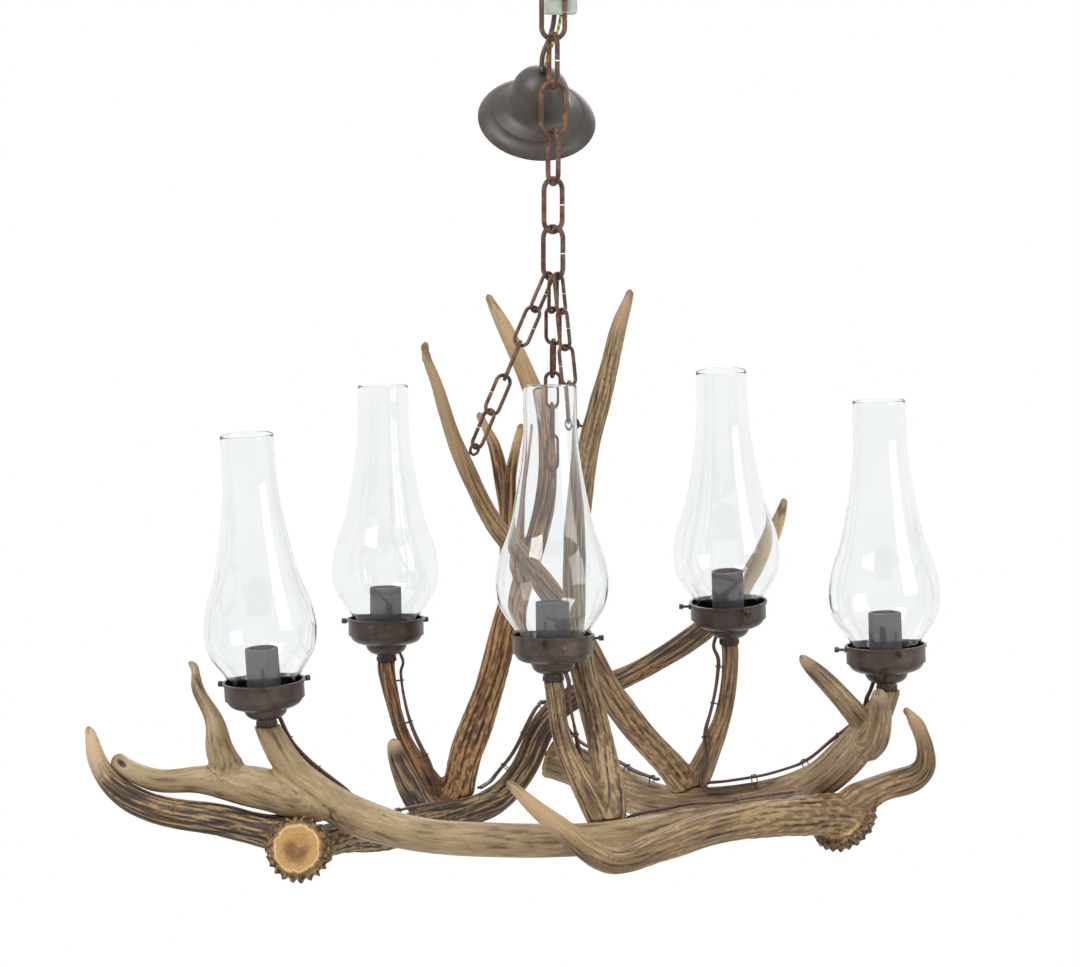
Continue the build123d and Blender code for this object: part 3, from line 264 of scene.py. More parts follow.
# %% Routes of the limbs
LIMBS = {
    "antler_front_left": [
        [(-295, -110, 109, 14.2), (-280, -115, 81, 15.5), (-257, -120, 53, 18), (-214, -130, 24, 20.5),
         (-156, -145, 6, 19), (-103, -155, 0, 18.5), (-49, -165, 0, 18.4), (7, -170, 1, 18),
         (57, -168, 4, 17.5), (109, -158, 10, 16.5), (148, -146, 16, 15)],
        [(-206, -131, 18, 13), (-236, -127, 28, 18), (-271, -120, 36, 22), (-310, -112, 45, 22),
         (-345, -108, 50, 18), (-375, -105, 51, 14), (-402, -100, 49, 12.5), (-425, -97, 53, 12),
         (-442, -95, 61, 11), (-455, -93, 74, 8.5)],
        [(-335, -108, 56, 17.5), (-342, -105, 77, 16), (-347, -98, 93, 13), (-350, -90, 106, 10.5),
         (-361, -80, 127, 8), (-371, -70, 148, 6), (-379, -60, 168, 2.8)],
    ],
    "antler_left_rear": [
        [(-262, -162, -9, 26), (-257, -141, -15, 22), (-226, -92, -13, 18), (-187, -40, -22, 17),
         (-142, 40, -25, 16.5), (-95, 110, -26, 16.5), (-58, 152, -17, 16), (-29, 176, 15, 15.5),
         (-10, 182, 56, 15.5), (20, 184, 86, 14.5), (73, 188, 107, 12.5), (119, 190, 131, 12.5),
         (164, 200, 159, 13), (203, 212, 195, 12.5), (231, 222, 236, 11), (248, 228, 271, 8.5),
         (259, 232, 305, 3)],
        [(-250, -124, -13, 18), (-300, -114, 0, 18.5), (-333, -112, 8, 17.5), (-368, -110, 14, 17),
         (-403, -107, 19, 16), (-437, -104, 32, 15), (-462, -100, 53, 12.5), (-475, -96, 80, 9),
         (-482, -92, 105, 3.5)],
        [(-132, 60, -26, 15.5), (-149, 85, -6, 14), (-163, 105, 18, 12.5), (-171, 118, 37, 10),
         (-174, 125, 53, 6)],
    ],
    "antler_front_right": [
        [(308, -70, -6, 27), (298, -80, 9, 24), (271, -96, 13, 22), (233, -125, 16, 20.5),
         (196, -150, 17, 19.5), (159, -178, 15, 18.5), (122, -205, 8, 17), (95, -225, 2, 16),
         (75, -240, -3, 15), (54, -250, -2, 14), (33, -255, 10, 13), (11, -255, 28, 11.5),
         (-10, -252, 44, 9.5), (-32, -247, 63, 6.5), (-47, -243, 76, 3)],
        [(285, -88, 10, 15), (306, -79, 19, 17.5), (328, -70, 29, 17), (351, -62, 37, 15.5),
         (375, -58, 44, 15), (388, -58, 56, 12.5), (389, -62, 74, 10), (383, -68, 94, 8.5),
         (374, -74, 110, 6.5), (364, -80, 121, 3)],
    ],
    "antler_right_rear": [
        [(348, -60, 138, 14.5), (339, -62, 115, 15.5), (325, -64, 92, 19), (307, -66, 69, 21),
         (287, -60, 48, 20.5), (265, -30, 30, 19), (229, 20, 10, 18), (188, 65, -6, 18.5),
         (149, 102, -16, 19.5), (112, 138, -20, 21.5), (88, 160, -15, 22.5), (53, 182, -1, 22.5),
         (22, 200, 10, 23), (0, 210, 17, 25)],
        [(330, -60, 86, 15.5), (311, -75, 119, 13), (291, -85, 142, 11), (272, -92, 162, 8.8),
         (260, -96, 174, 6), (255, -98, 180, 3.5)],
        [(325, -68, 80, 18.5), (335, -95, 98, 15), (336, -120, 123, 12.5), (333, -138, 142, 9.5),
         (331, -146, 151, 5)],
    ],
    "antler_upright_left": [
        [(-112, 132, -24, 17.5), (-103, 130, -2, 18.5), (-96, 127, 31, 18.5), (-85, 122, 63, 18.5),
         (-73, 117, 98, 17), (-61, 110, 140, 16.3), (-46, 104, 197, 15.5), (-31, 100, 243, 15),
         (-17, 98, 287, 14.5), (-8, 98, 330, 14), (-7, 98, 374, 13), (-13, 98, 411, 12),
         (-28, 100, 453, 10.3), (-47, 103, 495, 9), (-61, 106, 522, 6.5), (-70, 108, 540, 3)],
        [(-110, 132, -20, 15), (-132, 134, 0, 14), (-147, 138, 23, 11), (-161, 142, 46, 9.2),
         (-171, 146, 73, 8.6), (-178, 149, 103, 9.2), (-182, 150, 135, 10.2)],
        [(-37, 102, 238, 12), (-47, 108, 286, 10.5), (-53, 112, 329, 9.5), (-58, 114, 356, 8.5),
         (-64, 116, 378, 7), (-73, 117, 397, 4.8), (-80, 118, 412, 2.5)],
        [(-35, 94, 233, 12), (-45, 80, 284, 10), (-47, 74, 314, 8.7), (-45, 68, 349, 7.7),
         (-41, 65, 372, 6), (-37, 63, 390, 4), (-33, 62, 405, 2.2)],
    ],
    "antler_upright_front": [
        [(52, -150, 10, 17), (59, -138, 38, 16), (54, -115, 69, 15), (42, -85, 117, 14.5),
         (32, -65, 154, 14), (25, -50, 201, 13.5), (23, -42, 252, 13.5), (25, -38, 304, 13.5),
         (31, -36, 356, 13), (41, -38, 409, 12.3), (51, -42, 445, 11.5), (61, -45, 487, 10),
         (71, -48, 526, 7.5), (80, -50, 555, 3)],
        [(52, -150, 14, 15.5), (40, -148, 37, 15.5), (25, -142, 64, 13.2), (11, -136, 94, 10.8),
         (4, -132, 125, 10.4), (0, -130, 159, 11)],
    ],
    "antler_upright_right": [
        [(150, 108, -2, 18.5), (132, 107, 21, 17), (113, 100, 44, 16), (86, 85, 77, 16),
         (59, 65, 118, 15.5), (37, 45, 162, 15), (13, 25, 205, 14.5), (-10, 8, 240, 13.5),
         (-35, -8, 272, 12), (-63, -22, 310, 10.3), (-78, -32, 340, 10), (-89, -40, 365, 9.8),
         (-102, -48, 397, 8.5), (-113, -56, 432, 7.3), (-124, -64, 468, 5), (-132, -69, 502, 2.5)],
        [(150, 108, 2, 16), (164, 116, 23, 14.5), (175, 130, 45, 12), (186, 140, 72, 10.3),
         (193, 147, 104, 9.5), (195, 149, 133, 9.5), (194, 150, 154, 10)],
    ],
}
RING_PLACE = (0, 8.0, -927.4)    # the routes' own origin: just behind the chain, level with the ring
STEPS = 20                      # samples between two points of a route


# %% [markdown]
# Between its points a route is a Catmull-Rom curve, which passes through every point without a corner. A
# frame is carried along it, so that an angle round the limb means the same thing all the way up.


# %% Curves and frames along the limbs
def smooth_route(points):
    """Catmull-Rom curve through the points.

    At share t between p1 and p2: half of 2p1 + (p2-p0)t + (2p0-5p1+4p2-p3)t^2 + (3p1-p0-3p2+p3)t^3.
    """
    p = np.array(points, float)
    padded = np.vstack([2 * p[0] - p[1], p, 2 * p[-1] - p[-2]])
    t = np.arange(STEPS)[None, :, None] / STEPS
    p0, p1, p2, p3 = (padded[i:len(p) - 1 + i, None] for i in range(4))
    curve = 0.5 * (2 * p1 + (p2 - p0) * t + (2 * p0 - 5 * p1 + 4 * p2 - p3) * t ** 2
                   + (3 * p1 - p0 - 3 * p2 + p3) * t ** 3)
    return np.vstack([curve.reshape(-1, 4), p[-1]])


def limb_frames(route):
    """Heading, side and back at each sample: the side is carried along and kept square to the heading."""
    heading = np.gradient(route[:, :3], axis=0)
    heading /= np.linalg.norm(heading, axis=1)[:, None]
    side = np.empty_like(heading)
    carried = np.cross(heading[0], (0.31, 0.55, 0.77))
    for i, way in enumerate(heading):
        carried = carried - way * (carried @ way)
        carried = carried / np.linalg.norm(carried)
        side[i] = carried
    return heading, side, np.cross(heading, side)


def limb_places(points, route):
    """How near each point is, where it lies (across, behind, along), the limb's length and each way out.

    Nearness counts in radii from the middle line. The way out is the vector from that line to the point.
    """
    heading, side, back = limb_frames(route)
    walked = np.concatenate([[0], np.cumsum(np.linalg.norm(np.diff(route[:, :3], axis=0), axis=1))])
    middles = route[:, :3]
    apart = (points ** 2).sum(1)[:, None] + (middles ** 2).sum(1) - 2 * points @ middles.T
    nearest = (np.sqrt(np.maximum(apart, 0)) - route[:, 3]).argmin(1)
    away = points - route[nearest, :3]
    ahead = (away * heading[nearest]).sum(1)
    across = (away * side[nearest]).sum(1)
    behind = (away * back[nearest]).sum(1)
    radius = route[nearest, 3]
    nearness = np.sqrt(across ** 2 + behind ** 2) / radius + np.abs(ahead) / radius * 0.5
    place = np.stack([across, behind, walked[nearest] + ahead], axis=1)
    outward = across[:, None] * side[nearest] + behind[:, None] * back[nearest]
    return nearness, place, walked[-1], outward


# %% [markdown]
# ## Ridges and pearls
#
# Blood vessels leave lengthwise grooves in a growing antler, with rows of small pearls between them near
# its foot. Waves round the limb make the grooves. The absolute value of the cosine of n halves of the angle
# meets itself after one turn and has n sharp valleys with round crests between them. When its phase wanders
# along the limb, the grooves wander too.


# %% The pattern of the skin
WANDERS = ((1.5, 41.0), (0.6, 17.0))    # how far a groove wanders, in radians, and in how many millimetres
GROOVE = 4.0                    # the narrowest groove, in millimetres: a finer one is lost between squares
SKINS = {                       # groove depth and pearl height in millimetres, numbers of grooves, the length
                                # that has pearls, and the share of each limb at its point that is rubbed bare
    "antler_front_left": (0.45, 0.0, (7, 12), 1.0, 0.28),
    "antler_left_rear": (2.0, 1.0, (12, 20, 30), 320.0, 0.3),
    "antler_front_right": (1.5, 0.8, (14, 22, 32), 220.0, 0.34),
    "antler_right_rear": (1.1, 0.5, (14, 24, 34), 1.0, 0.22),
    "antler_upright_left": (1.9, 0.8, (12, 18, 28), 240.0, 0.34),
    "antler_upright_front": (1.7, 0.5, (12, 20, 28), 200.0, 0.16),
    "antler_upright_right": (1.5, 0.4, (14, 20, 30), 180.0, 0.4),
}


def groove_counts(counts, route):
    """The counts, all made smaller by one share if their finest grooves would be narrower than GROOVE."""
    finest = 2 * np.pi * route[:, 3].mean() / GROOVE
    return [round(count * min(1, finest / max(counts))) for count in counts]


def furrows(turn, along, counts, seed):
    """Mean of |cos(n turn / 2 + phase + wander(along))|^0.7 over the counts n: 0 groove, 1 crest."""
    random = np.random.default_rng(seed)
    height = np.zeros_like(turn)
    for count in counts:
        phase, *starts = random.uniform(0, 2 * np.pi, 3)
        waves = zip(WANDERS, starts)
        wander = sum(size * np.sin(along / length + start) for (size, length), start in waves)
        height += np.abs(np.cos(0.5 * count * turn + phase + wander)) ** 0.7
    return height / len(counts)


def pearls(turn, along, seed):
    """Rows of small knobs: the positive part of a product of waves round and along the limb."""
    random = np.random.default_rng(seed)
    first, second = random.uniform(0, 2 * np.pi, 2)
    rows = np.cos(8 * turn + first + 0.02 * along) * np.cos(along / 2.6 + second + 2 * np.sin(3 * turn))
    return np.clip(rows, 0, 1)


def swells(points, seed):
    """Slow bumps of a grown thing: twice the mean of sines in six slanting directions."""
    random = np.random.default_rng(seed)
    ways = random.normal(size=(6, 3))
    ways /= np.linalg.norm(ways, axis=1)[:, None] * random.uniform(7, 16, 6)[:, None]
    return np.sin(points @ ways.T + random.uniform(0, 2 * np.pi, 6)).mean(1) * 2


# %% [markdown]
# ## Sawn feet and the burr
#
# Three of the antlers in the ring show the face where they were sawn off. Two of these faces lie just past
# the burr, the ring of knobs that an antler has at its foot. The burr is a tube bent round the foot. A wave
# makes it thick and thin in turn, and slower waves keep its knobs from being alike.


# %% Feet
CUT_ENDS = {                    # sawn feet that show their pale inside: the limb, and its first or last point
    "antler_left_rear": (0, 0), "antler_front_right": (0, 0), "antler_right_rear": (0, -1),
}
BURRED = ("antler_left_rear", "antler_front_right")
BURR_GRID = (324, 24)           # points round the foot, and round the tube
BURR_KNOBS = 27
BURR_BACK = 8.5                 # how far behind the sawn face its middle lies, in millimetres
BURR_OUT = (9.5, 3.5)           # how far its outside stands off the foot, sideways and upwards
BURR_THICK = 6.0                # radius of its tube
BURR_REACH = 1.6                # how far out the colours of a foot go, in radii of the foot
SAWN_BACK = {True: 18.0, False: 4.6}    # how far behind the face they go, with and without a burr
SAWN_FADE = 3.4                 # the length over which they fade
SAWN_AHEAD = 6.0                # and how far ahead of the face they still count


def ring_faces(rows, columns):
    """The squares of a grid that closes on itself both ways, as rows of four corners."""
    row, column = np.meshgrid(np.arange(rows), np.arange(columns), indexing="ij")
    below, beside = (row + 1) % rows, (column + 1) % columns
    return np.stack([row * columns + column, row * columns + beside, below * columns + beside,
                     below * columns + column], axis=-1).reshape(-1, 4)


def foot_frame(name):
    """The middle of a sawn foot, its radius, and the ways out of it, across it and up it."""
    limb, end = CUT_ENDS[name]
    route = np.array(LIMBS[name][limb], float)
    inner = route[1] if end == 0 else route[-2]
    out = route[end, :3] - inner[:3]
    out /= np.linalg.norm(out)
    across = np.cross(out, (0, 0, 1))
    across /= np.linalg.norm(across)
    return route[end, :3], route[end, 3], out, across, np.cross(across, out)


def burr_ring(name):
    """A tube round a foot, of radius BURR_THICK uneven (0.62 + 0.38 |cos(BURR_KNOBS (angle + wander) / 2)|).

    Its middle line is an ellipse, cos(angle) across and sin(angle) up. Uneven is 1 plus two slow waves.
    """
    middle, radius, out, across, up = foot_frame(name)
    random = np.random.default_rng(5)
    angle, turn = np.meshgrid(*(np.linspace(0, 2 * np.pi, count, endpoint=False) for count in BURR_GRID),
                              indexing="ij")
    wander = 0.25 * np.sin(3 * angle + random.uniform(0, 6)) + 0.2 * np.sin(5 * angle + random.uniform(0, 6))
    knob = np.abs(np.cos(BURR_KNOBS / 2 * (angle + wander / 3)))
    uneven = (1 + 0.16 * np.sin(7 * angle + random.uniform(0, 6))
              + 0.12 * np.sin(11 * angle + random.uniform(0, 6)))
    tube = BURR_THICK * uneven * (0.62 + 0.38 * knob)
    wide = (radius + BURR_OUT[0] - BURR_THICK + tube * np.cos(turn)) * np.cos(angle)
    high = (radius + BURR_OUT[1] - BURR_THICK + tube * np.cos(turn)) * np.sin(angle)
    depth = 1.1 * tube * np.sin(turn) - BURR_BACK
    ring = middle + wide[..., None] * across + high[..., None] * up + depth[..., None] * out
    return ring.reshape(-1, 3)


def sawn_foot(name, local):
    """How much each point belongs to a sawn foot, and how far out from its middle it is, in radii."""
    middle, radius, out, _, _ = foot_frame(name)
    away = local - middle
    ahead = away @ out
    core = np.linalg.norm(away - ahead[:, None] * out, axis=1) / radius
    face = np.clip((ahead + SAWN_BACK[name in BURRED]) / SAWN_FADE, 0, 1)
    return face * (core < BURR_REACH) * (ahead < SAWN_AHEAD), core


# %% [markdown]
# ## Points
#
# A living antler's points are blunt, because the animal rubs them on trees. The last stretch of each pointed
# limb is brought to a blunt cone with a round end. The cone stands on the skin's own middle, which is
# measured station by station: near a point the solid's middle leaves the route by a millimetre or two.
# One point has a weathered hole.


# %% Rounding the points
POINT_RADIUS = 9.0              # a route that ends thinner than this, in millimetres, ends in a point
BLUNT = 3.9                     # radius of a point just before its round end, in millimetres
BLUNT_TAPER = 0.05              # and how much it grows for each millimetre from there
BLUNT_END = 1.6                 # length of the round end, in BLUNT
POINT_REACH = 60.0              # the length over which a point takes this shape
POINT_FADE = 20.0               # the first part of it, over which the change grows
POINT_STATION = 3.0             # between the places where its real middle is measured
HOLES = {                       # a weathered hole: its middle, the way it is long, half its length
    "antler_front_left": ((-446, -104, 69), (-0.7, 0.0, 0.7), 7.5),
}
HOLE_DEPTH = 2.6
HOLE_NARROW = 3.2               # the square of its length over its width


def blunted(along, length, outward, mine):
    """How far to move a point's skin to a blunt cone, whose end narrows as the root of 1 - share^2.

    The real middle and radius at each station are means over the skin near it, where it is mine.
    """
    stations = np.arange(length - POINT_REACH, length - POINT_STATION / 2, POINT_STATION)
    at = np.clip(((along - stations[0]) / POINT_STATION).round().astype(int), 0, len(stations) - 1)
    counted = mine * (np.abs(along - stations[at]) < POINT_STATION)

    def mean(values):
        total = np.bincount(at, counted * values, len(stations))
        return total / np.maximum(np.bincount(at, counted, len(stations)), 1)

    middle = np.stack([np.interp(along, stations, mean(outward[:, k])) for k in range(3)], axis=1)
    from_middle = outward - middle
    radius = np.interp(along, stations, mean(np.linalg.norm(from_middle, axis=1)))
    reach = BLUNT_END * BLUNT
    share = np.clip((along - length + reach) / reach, 0, 0.97)
    target = np.maximum(radius, BLUNT + BLUNT_TAPER * (length - along)) * np.sqrt(1 - share ** 2)
    near = np.clip((along - length + POINT_REACH) / POINT_FADE, 0, 1)
    return (near * np.clip(target / np.maximum(radius, 0.5) - 1, -0.9, 1.2))[:, None] * from_middle


def weathered_hole(name, local):
    """1 in the middle of a long hole, falling to 0 a little outside it."""
    middle, long_way, half = HOLES[name]
    away = local - middle
    along = away @ (np.array(long_way) / np.linalg.norm(long_way))
    apart = np.sqrt(((away ** 2).sum(1) - along ** 2) * HOLE_NARROW + along ** 2) / half
    return np.clip(1.25 - apart, 0, 1)


# %% [markdown]
# ## From a smooth limb to a skin
#
# Each solid is remade of even small squares, which also melts its burr into it. Then each point of it moves:
# along its normal by the pattern of the limbs near it, and near a point of the antler towards the blunt
# cone. The pattern is stored with the mesh, so that the finish can follow it.


# %% Dressed antlers
VOXEL = 0.0016                  # metres: the fineness of an antler's skin
SWELL = 0.5                     # height of the slow bumps, in millimetres
RUBBED = 0.85                   # the share of its pattern that a point has lost


def fine_mesh(name):
    """A copy of a solid's mesh, merged, joined with its burr and remade of even small squares."""
    mesh = nodes[name].data.copy()
    work = bmesh.new()
    work.from_mesh(mesh)
    bmesh.ops.remove_doubles(work, verts=work.verts, dist=1e-6)
    if name in BURRED:
        ring = bpy.data.meshes.new("ring")
        ring.from_pydata((burr_ring(name) + RING_PLACE) / 1000, [], ring_faces(*BURR_GRID).tolist())
        work.from_mesh(ring)
        bpy.data.meshes.remove(ring)
        bmesh.ops.recalc_face_normals(work, faces=work.faces)
    work.to_mesh(mesh)
    work.free()
    rough = bpy.data.objects.new("rough", mesh)
    scene.collection.objects.link(rough)
    remesh = rough.modifiers.new("remesh", "REMESH")
    remesh.mode = "VOXEL"
    remesh.voxel_size = VOXEL
    remesh.adaptivity = 0
    fine = bpy.data.meshes.new_from_object(rough.evaluated_get(bpy.context.evaluated_depsgraph_get()))
    bpy.data.objects.remove(rough)
    return fine


def read_vectors(collection, field):
    """A vector field of a mesh as an array with three columns."""
    values = np.empty(len(collection) * 3, np.float32)
    collection.foreach_get(field, values)
    return values.reshape(-1, 3).astype(float)


def store(mesh, name, values):
    """Keeps a number, or three, for each vertex under a name that a finish can read."""
    kind, field = ("FLOAT", "value") if values.ndim == 1 else ("FLOAT_VECTOR", "vector")
    layer = mesh.attributes.new(name, kind, "POINT")
    layer.data.foreach_set(field, values.astype(np.float32).ravel())


def limb_pattern(name, local, seed):
    """Sums over the limbs, each weighted by exp(-7 nearness), of what the skin does at each point.

    Ridge and tip run from 0 to 1, lift is in millimetres, shaped moves the skin to the blunt points, and
    limb holds the place across, behind and along in metres.
    """
    depth, pearl, counts, pearled, polished = SKINS[name]
    routes = [smooth_route(route) for route in LIMBS[name]]
    places = [limb_places(local, route) for route in routes]
    nearness = np.array([place[0] for place in places])
    share = np.exp(-7 * (nearness - nearness.min(0)))
    share /= share.sum(0)
    ridge, lift, tip = (np.zeros(len(local)) for _ in range(3))
    shaped, limb = np.zeros_like(local), np.zeros_like(local)
    for i, (route, (_, place, length, outward)) in enumerate(zip(routes, places)):
        along = place[:, 2]
        turn = np.arctan2(place[:, 1], place[:, 0])
        limb += share[i][:, None] * place / 1000
        smooth_end = np.zeros_like(along)
        if route[-1, 3] < POINT_RADIUS:
            smooth_end = np.clip((along / length - 1 + polished) / polished, 0, 1)
            shaped += share[i][:, None] ** 2 * blunted(along, length, outward, share[i] > 0.8)
        height = furrows(turn, along, groove_counts(counts, route), seed + i)
        foot = np.clip(1 - along / pearled, 0, 1) if i == 0 else np.zeros_like(along)
        knobs = pearls(turn, along, seed + i) * foot
        ridge += share[i] * np.clip(height + 0.5 * knobs, 0, 1)
        lift += share[i] * (1 - RUBBED * smooth_end) * ((height - 1) * depth + knobs * pearl)
        tip += share[i] * smooth_end
    return ridge, lift, tip, shaped, limb


def dressed_antler(name, seed):
    """The antler with its skin: each point moves along its normal by the lift, and as the blunt ends ask."""
    mesh = fine_mesh(name)
    points = read_vectors(mesh.vertices, "co")
    normals = read_vectors(mesh.vertex_normals, "vector")
    local = points * 1000 - RING_PLACE
    ridge, lift, tip, shaped, limb = limb_pattern(name, local, seed)
    lift += SWELL * (swells(local, seed) - 1) * (1 - tip)
    cut, core, hole_and_painted_shade = (np.zeros(len(local)) for _ in range(3))
    if name in CUT_ENDS:
        cut, core = sawn_foot(name, local)
        bark, sawn = 0.5 * swells(local * 4.5, seed + 50), 0.12 * swells(local * 3, seed)
        lift *= 1 - cut
        lift += cut * np.where(core > 1.0, bark, sawn)
    if name in HOLES:
        hole_and_painted_shade = weathered_hole(name, local)
        lift -= HOLE_DEPTH * hole_and_painted_shade
    moved = points + (normals * lift[:, None] + shaped) / 1000
    mesh.vertices.foreach_set("co", moved.astype(np.float32).ravel())
    core = np.clip(core, 0, 2)
    stored = {"ridge": ridge, "tip": tip, "cut": cut, "core": core, "hole_and_painted_shade": hole_and_painted_shade, "limb": limb}
    for label, values in stored.items():
        store(mesh, label, values)
    mesh.shade_smooth()
    mesh.update()
    piece = bpy.data.objects.new(name + "_skin", mesh)
    scene.collection.objects.link(piece)
    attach(piece, "frame")
    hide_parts(name)
    print(name, len(mesh.polygons), "squares, lift", lift.min().round(2), lift.max().round(2))
    return piece


# %% [markdown]
# ## The finish of an antler
#
# The grooves keep dark earth and bark, the crests are rubbed pale, and the points are bare and creamy with
# a brown end. The pattern's own height was stored at each vertex, so colour and form agree. Where an antler
# was sawn off, its inside is ochre with a brown porous heart.
# The weathered hole is painted nearly black: painted shade for a depth that its shallow dent does not throw.


# %% Antler finish
def horn(name, groove, middle, crest, point, rough=0.55, ridges=1.0, bark=0.5):
    """Colours by the stored height and streaks along the limb, then stains, polished point, sawn face and the
    painted shade in the weathered hole.
    """
    finish = Finish(name, Roughness=rough, Specular_IOR_Level=0.35)
    tip = finish.attribute("tip")
    blotch = finish.streaks(0.032, 2.2, 4.0)
    grain = finish.streaks(0.0032, 7.0, 4.0)
    fine = finish.streaks(0.0013, 5.0, 2.0)
    height = ((finish.attribute("ridge") - 0.5) * ridges + 0.5 + (grain - 0.5) * 0.9 + (blotch - 0.5) * 1.3
              - (bark - 0.5) * 0.3)
    base = finish.mix(height.ramp(0.22, 0.58), groove, middle)
    base = finish.mix(height.ramp(0.58, 0.95), base, crest)
    bare = (tip + (blotch - 0.5) * 0.7 + (grain - 0.5) * 0.3).ramp(0.15, 0.8)
    base = finish.mix(bare * (0.95 - (grain - 0.5).ramp(0.0, 0.3) * 0.35), base, point)
    end = (tip + (grain - 0.5) * 0.35).ramp(0.86, 1.04)
    base = finish.mix(end * 0.8, base, colour(92, 62, 40))
    cracks = (fine + (blotch - 0.5) * 0.6).ramp(0.6, 0.7) * bark
    base = finish.mix(cracks * (1 - bare * 0.75), base, groove)
    base = finish.mix(finish.attribute("cut"), base, sawn_face(finish))
    # painted shade: the inside of the weathered hole is coloured nearly black, standing for the shade in it
    base = finish.mix(finish.attribute("hole_and_painted_shade").ramp(0.1, 0.7), base, colour(44, 34, 26))
    finish.set("Base Color", base)
    finish.bump(grain * 0.6 + fine * 0.4, 0.0006)
    return finish.material


def sawn_face(finish):
    """Across a sawn foot: a brown porous heart, ochre horn, a pale ring, then the dark knobs of the burr."""
    wander = (finish.noise(0.006) - 0.5) * 0.3
    core = finish.attribute("core") + wander
    pores = finish.noise(0.0016, 3.0).ramp(0.5, 0.66)
    heart = finish.mix(finish.noise(0.02).ramp(0.4, 0.62), colour(120, 82, 46), colour(170, 130, 78))
    face = finish.mix(core.ramp(0.3, 0.75), heart, colour(182, 144, 90))
    face = finish.mix(core.ramp(0.84, 0.88) - core.ramp(0.9, 0.95), face, colour(212, 182, 130))
    face = finish.mix(core.ramp(0.95, 1.0), face, colour(132, 98, 62))
    face = finish.mix(pores * 0.35, face, colour(100, 68, 40))
    knobs = finish.mix(finish.noise(0.004, 4.0).ramp(0.42, 0.62), colour(44, 33, 26), colour(138, 106, 70))
    return finish.mix(core.ramp(1.0, 1.1), face, knobs)


HORNS = {
    "antler_front_left": horn("horn_tan", colour(96, 76, 52), colour(152, 130, 96), colour(186, 164, 126),
                              colour(164, 142, 112), 0.45, 0.25, 0.45),
    "antler_left_rear": horn("horn_dark", colour(34, 26, 23), colour(72, 57, 46), colour(160, 132, 94),
                             colour(200, 174, 138), 0.6, 1.2, 0.75),
    "antler_front_right": horn("horn_ridged", colour(48, 36, 27), colour(118, 94, 67), colour(166, 138, 98),
                               colour(178, 150, 112), 0.5, 0.9, 0.6),
    "antler_right_rear": horn("horn_streaked", colour(74, 57, 45), colour(132, 110, 84),
                              colour(180, 154, 116), colour(158, 136, 110), 0.5, 0.6, 0.5),
    "antler_upright_left": horn("horn_bark", colour(38, 26, 20), colour(104, 72, 48), colour(172, 134, 92),
                                colour(184, 156, 118), 0.6, 1.2, 0.7),
    "antler_upright_front": horn("horn_brown", colour(48, 36, 28), colour(112, 90, 66), colour(168, 142, 106),
                                 colour(168, 142, 110), 0.55, 1.1, 0.6),
    "antler_upright_right": horn("horn_warm", colour(50, 36, 27), colour(120, 93, 66), colour(172, 142, 102),
                                 colour(166, 138, 106), 0.55, 1.1, 0.6),
}
for number, (name, finish) in enumerate(HORNS.items()):
    antler = dressed_antler(name, 100 * number + 7)
    antler.data.materials.clear()
    antler.data.materials.append(finish)


# %% [markdown]
# ## Metal
#
# The chain, the hook and the screw eyes are steel under an old brown lacquer that has rusted through in
# spots. The lamp cups are painted dark bronze, and the paint is chipped along the rims. The ceiling rose has
# the same paint, duller.


# %% Metal finishes
def rusty_steel():
    """Brown lacquer with lighter rust where a noise is high, duller on the rust."""
    finish = Finish("rusty_steel", Metallic=0.35)
    patches = finish.noise(0.009, 5.0)
    fine = finish.noise(0.0016, 3.0)
    rust = (patches + (fine - 0.5) * 0.5).ramp(0.45, 0.68)
    base = finish.mix(rust, colour(74, 54, 44), colour(132, 92, 68))
    base = finish.mix(fine.ramp(0.6, 0.75) * 0.6, base, colour(52, 38, 32))
    finish.set("Base Color", base)
    finish.set("Roughness", rust * 0.25 + 0.45)
    finish.bump(fine, 0.0003)
    return finish.material


def bronze_paint():
    """Dark brown paint with copper chips where a fine noise is highest."""
    finish = Finish("bronze_paint", Metallic=0.25)
    cloud = finish.noise(0.02, 4.0)
    chips = (finish.noise(0.0035, 5.0) + (cloud - 0.5) * 0.4).ramp(0.7, 0.76)
    base = finish.mix(cloud.ramp(0.35, 0.7), colour(56, 45, 40), colour(80, 66, 58))
    base = finish.mix(chips * 0.7, base, colour(150, 116, 92))
    finish.set("Base Color", base)
    finish.set("Roughness", chips * 0.2 + 0.32)
    finish.bump(finish.noise(0.002, 2.0), 0.00015)
    return finish.material


def rose_paint():
    """Satin grey brown with pale specks of dust."""
    finish = Finish("rose_paint", Metallic=0.15)
    cloud = finish.noise(0.03, 4.0)
    dust = finish.noise(0.0024, 3.0).ramp(0.68, 0.78)
    base = finish.mix(cloud.ramp(0.35, 0.7), colour(56, 48, 45), colour(78, 69, 65))
    finish.set("Base Color", finish.mix(dust * 0.6, base, colour(164, 150, 140)))
    finish.set("Roughness", cloud * 0.2 + 0.36)
    return finish.material


def plain(name, shade, rough, metallic=0.0, variation=0.25, size=0.006):
    """One colour that a noise makes a little darker and lighter, as moulded plastic and zinc are."""
    finish = Finish(name, Metallic=metallic)
    cloud = finish.noise(size, 4.0)
    darker = tuple(c * (1 - variation) for c in shade[:3]) + (1.0,)
    lighter = tuple(min(1, c * (1 + variation)) for c in shade[:3]) + (1.0,)
    finish.set("Base Color", finish.mix(cloud.ramp(0.3, 0.7), darker, lighter))
    finish.set("Roughness", cloud * 0.15 + (rough - 0.07))
    finish.bump(finish.noise(size / 5, 2.0), 0.0001)
    return finish.material


# %% [markdown]
# ## Glass, plastic and cord
#
# The chimneys are thin clear glass. Both sides of the wall are modelled, so the glass bends light as the
# real one does, and only its edges show dark. The earth wire is yellow with a green stripe that winds
# round it.


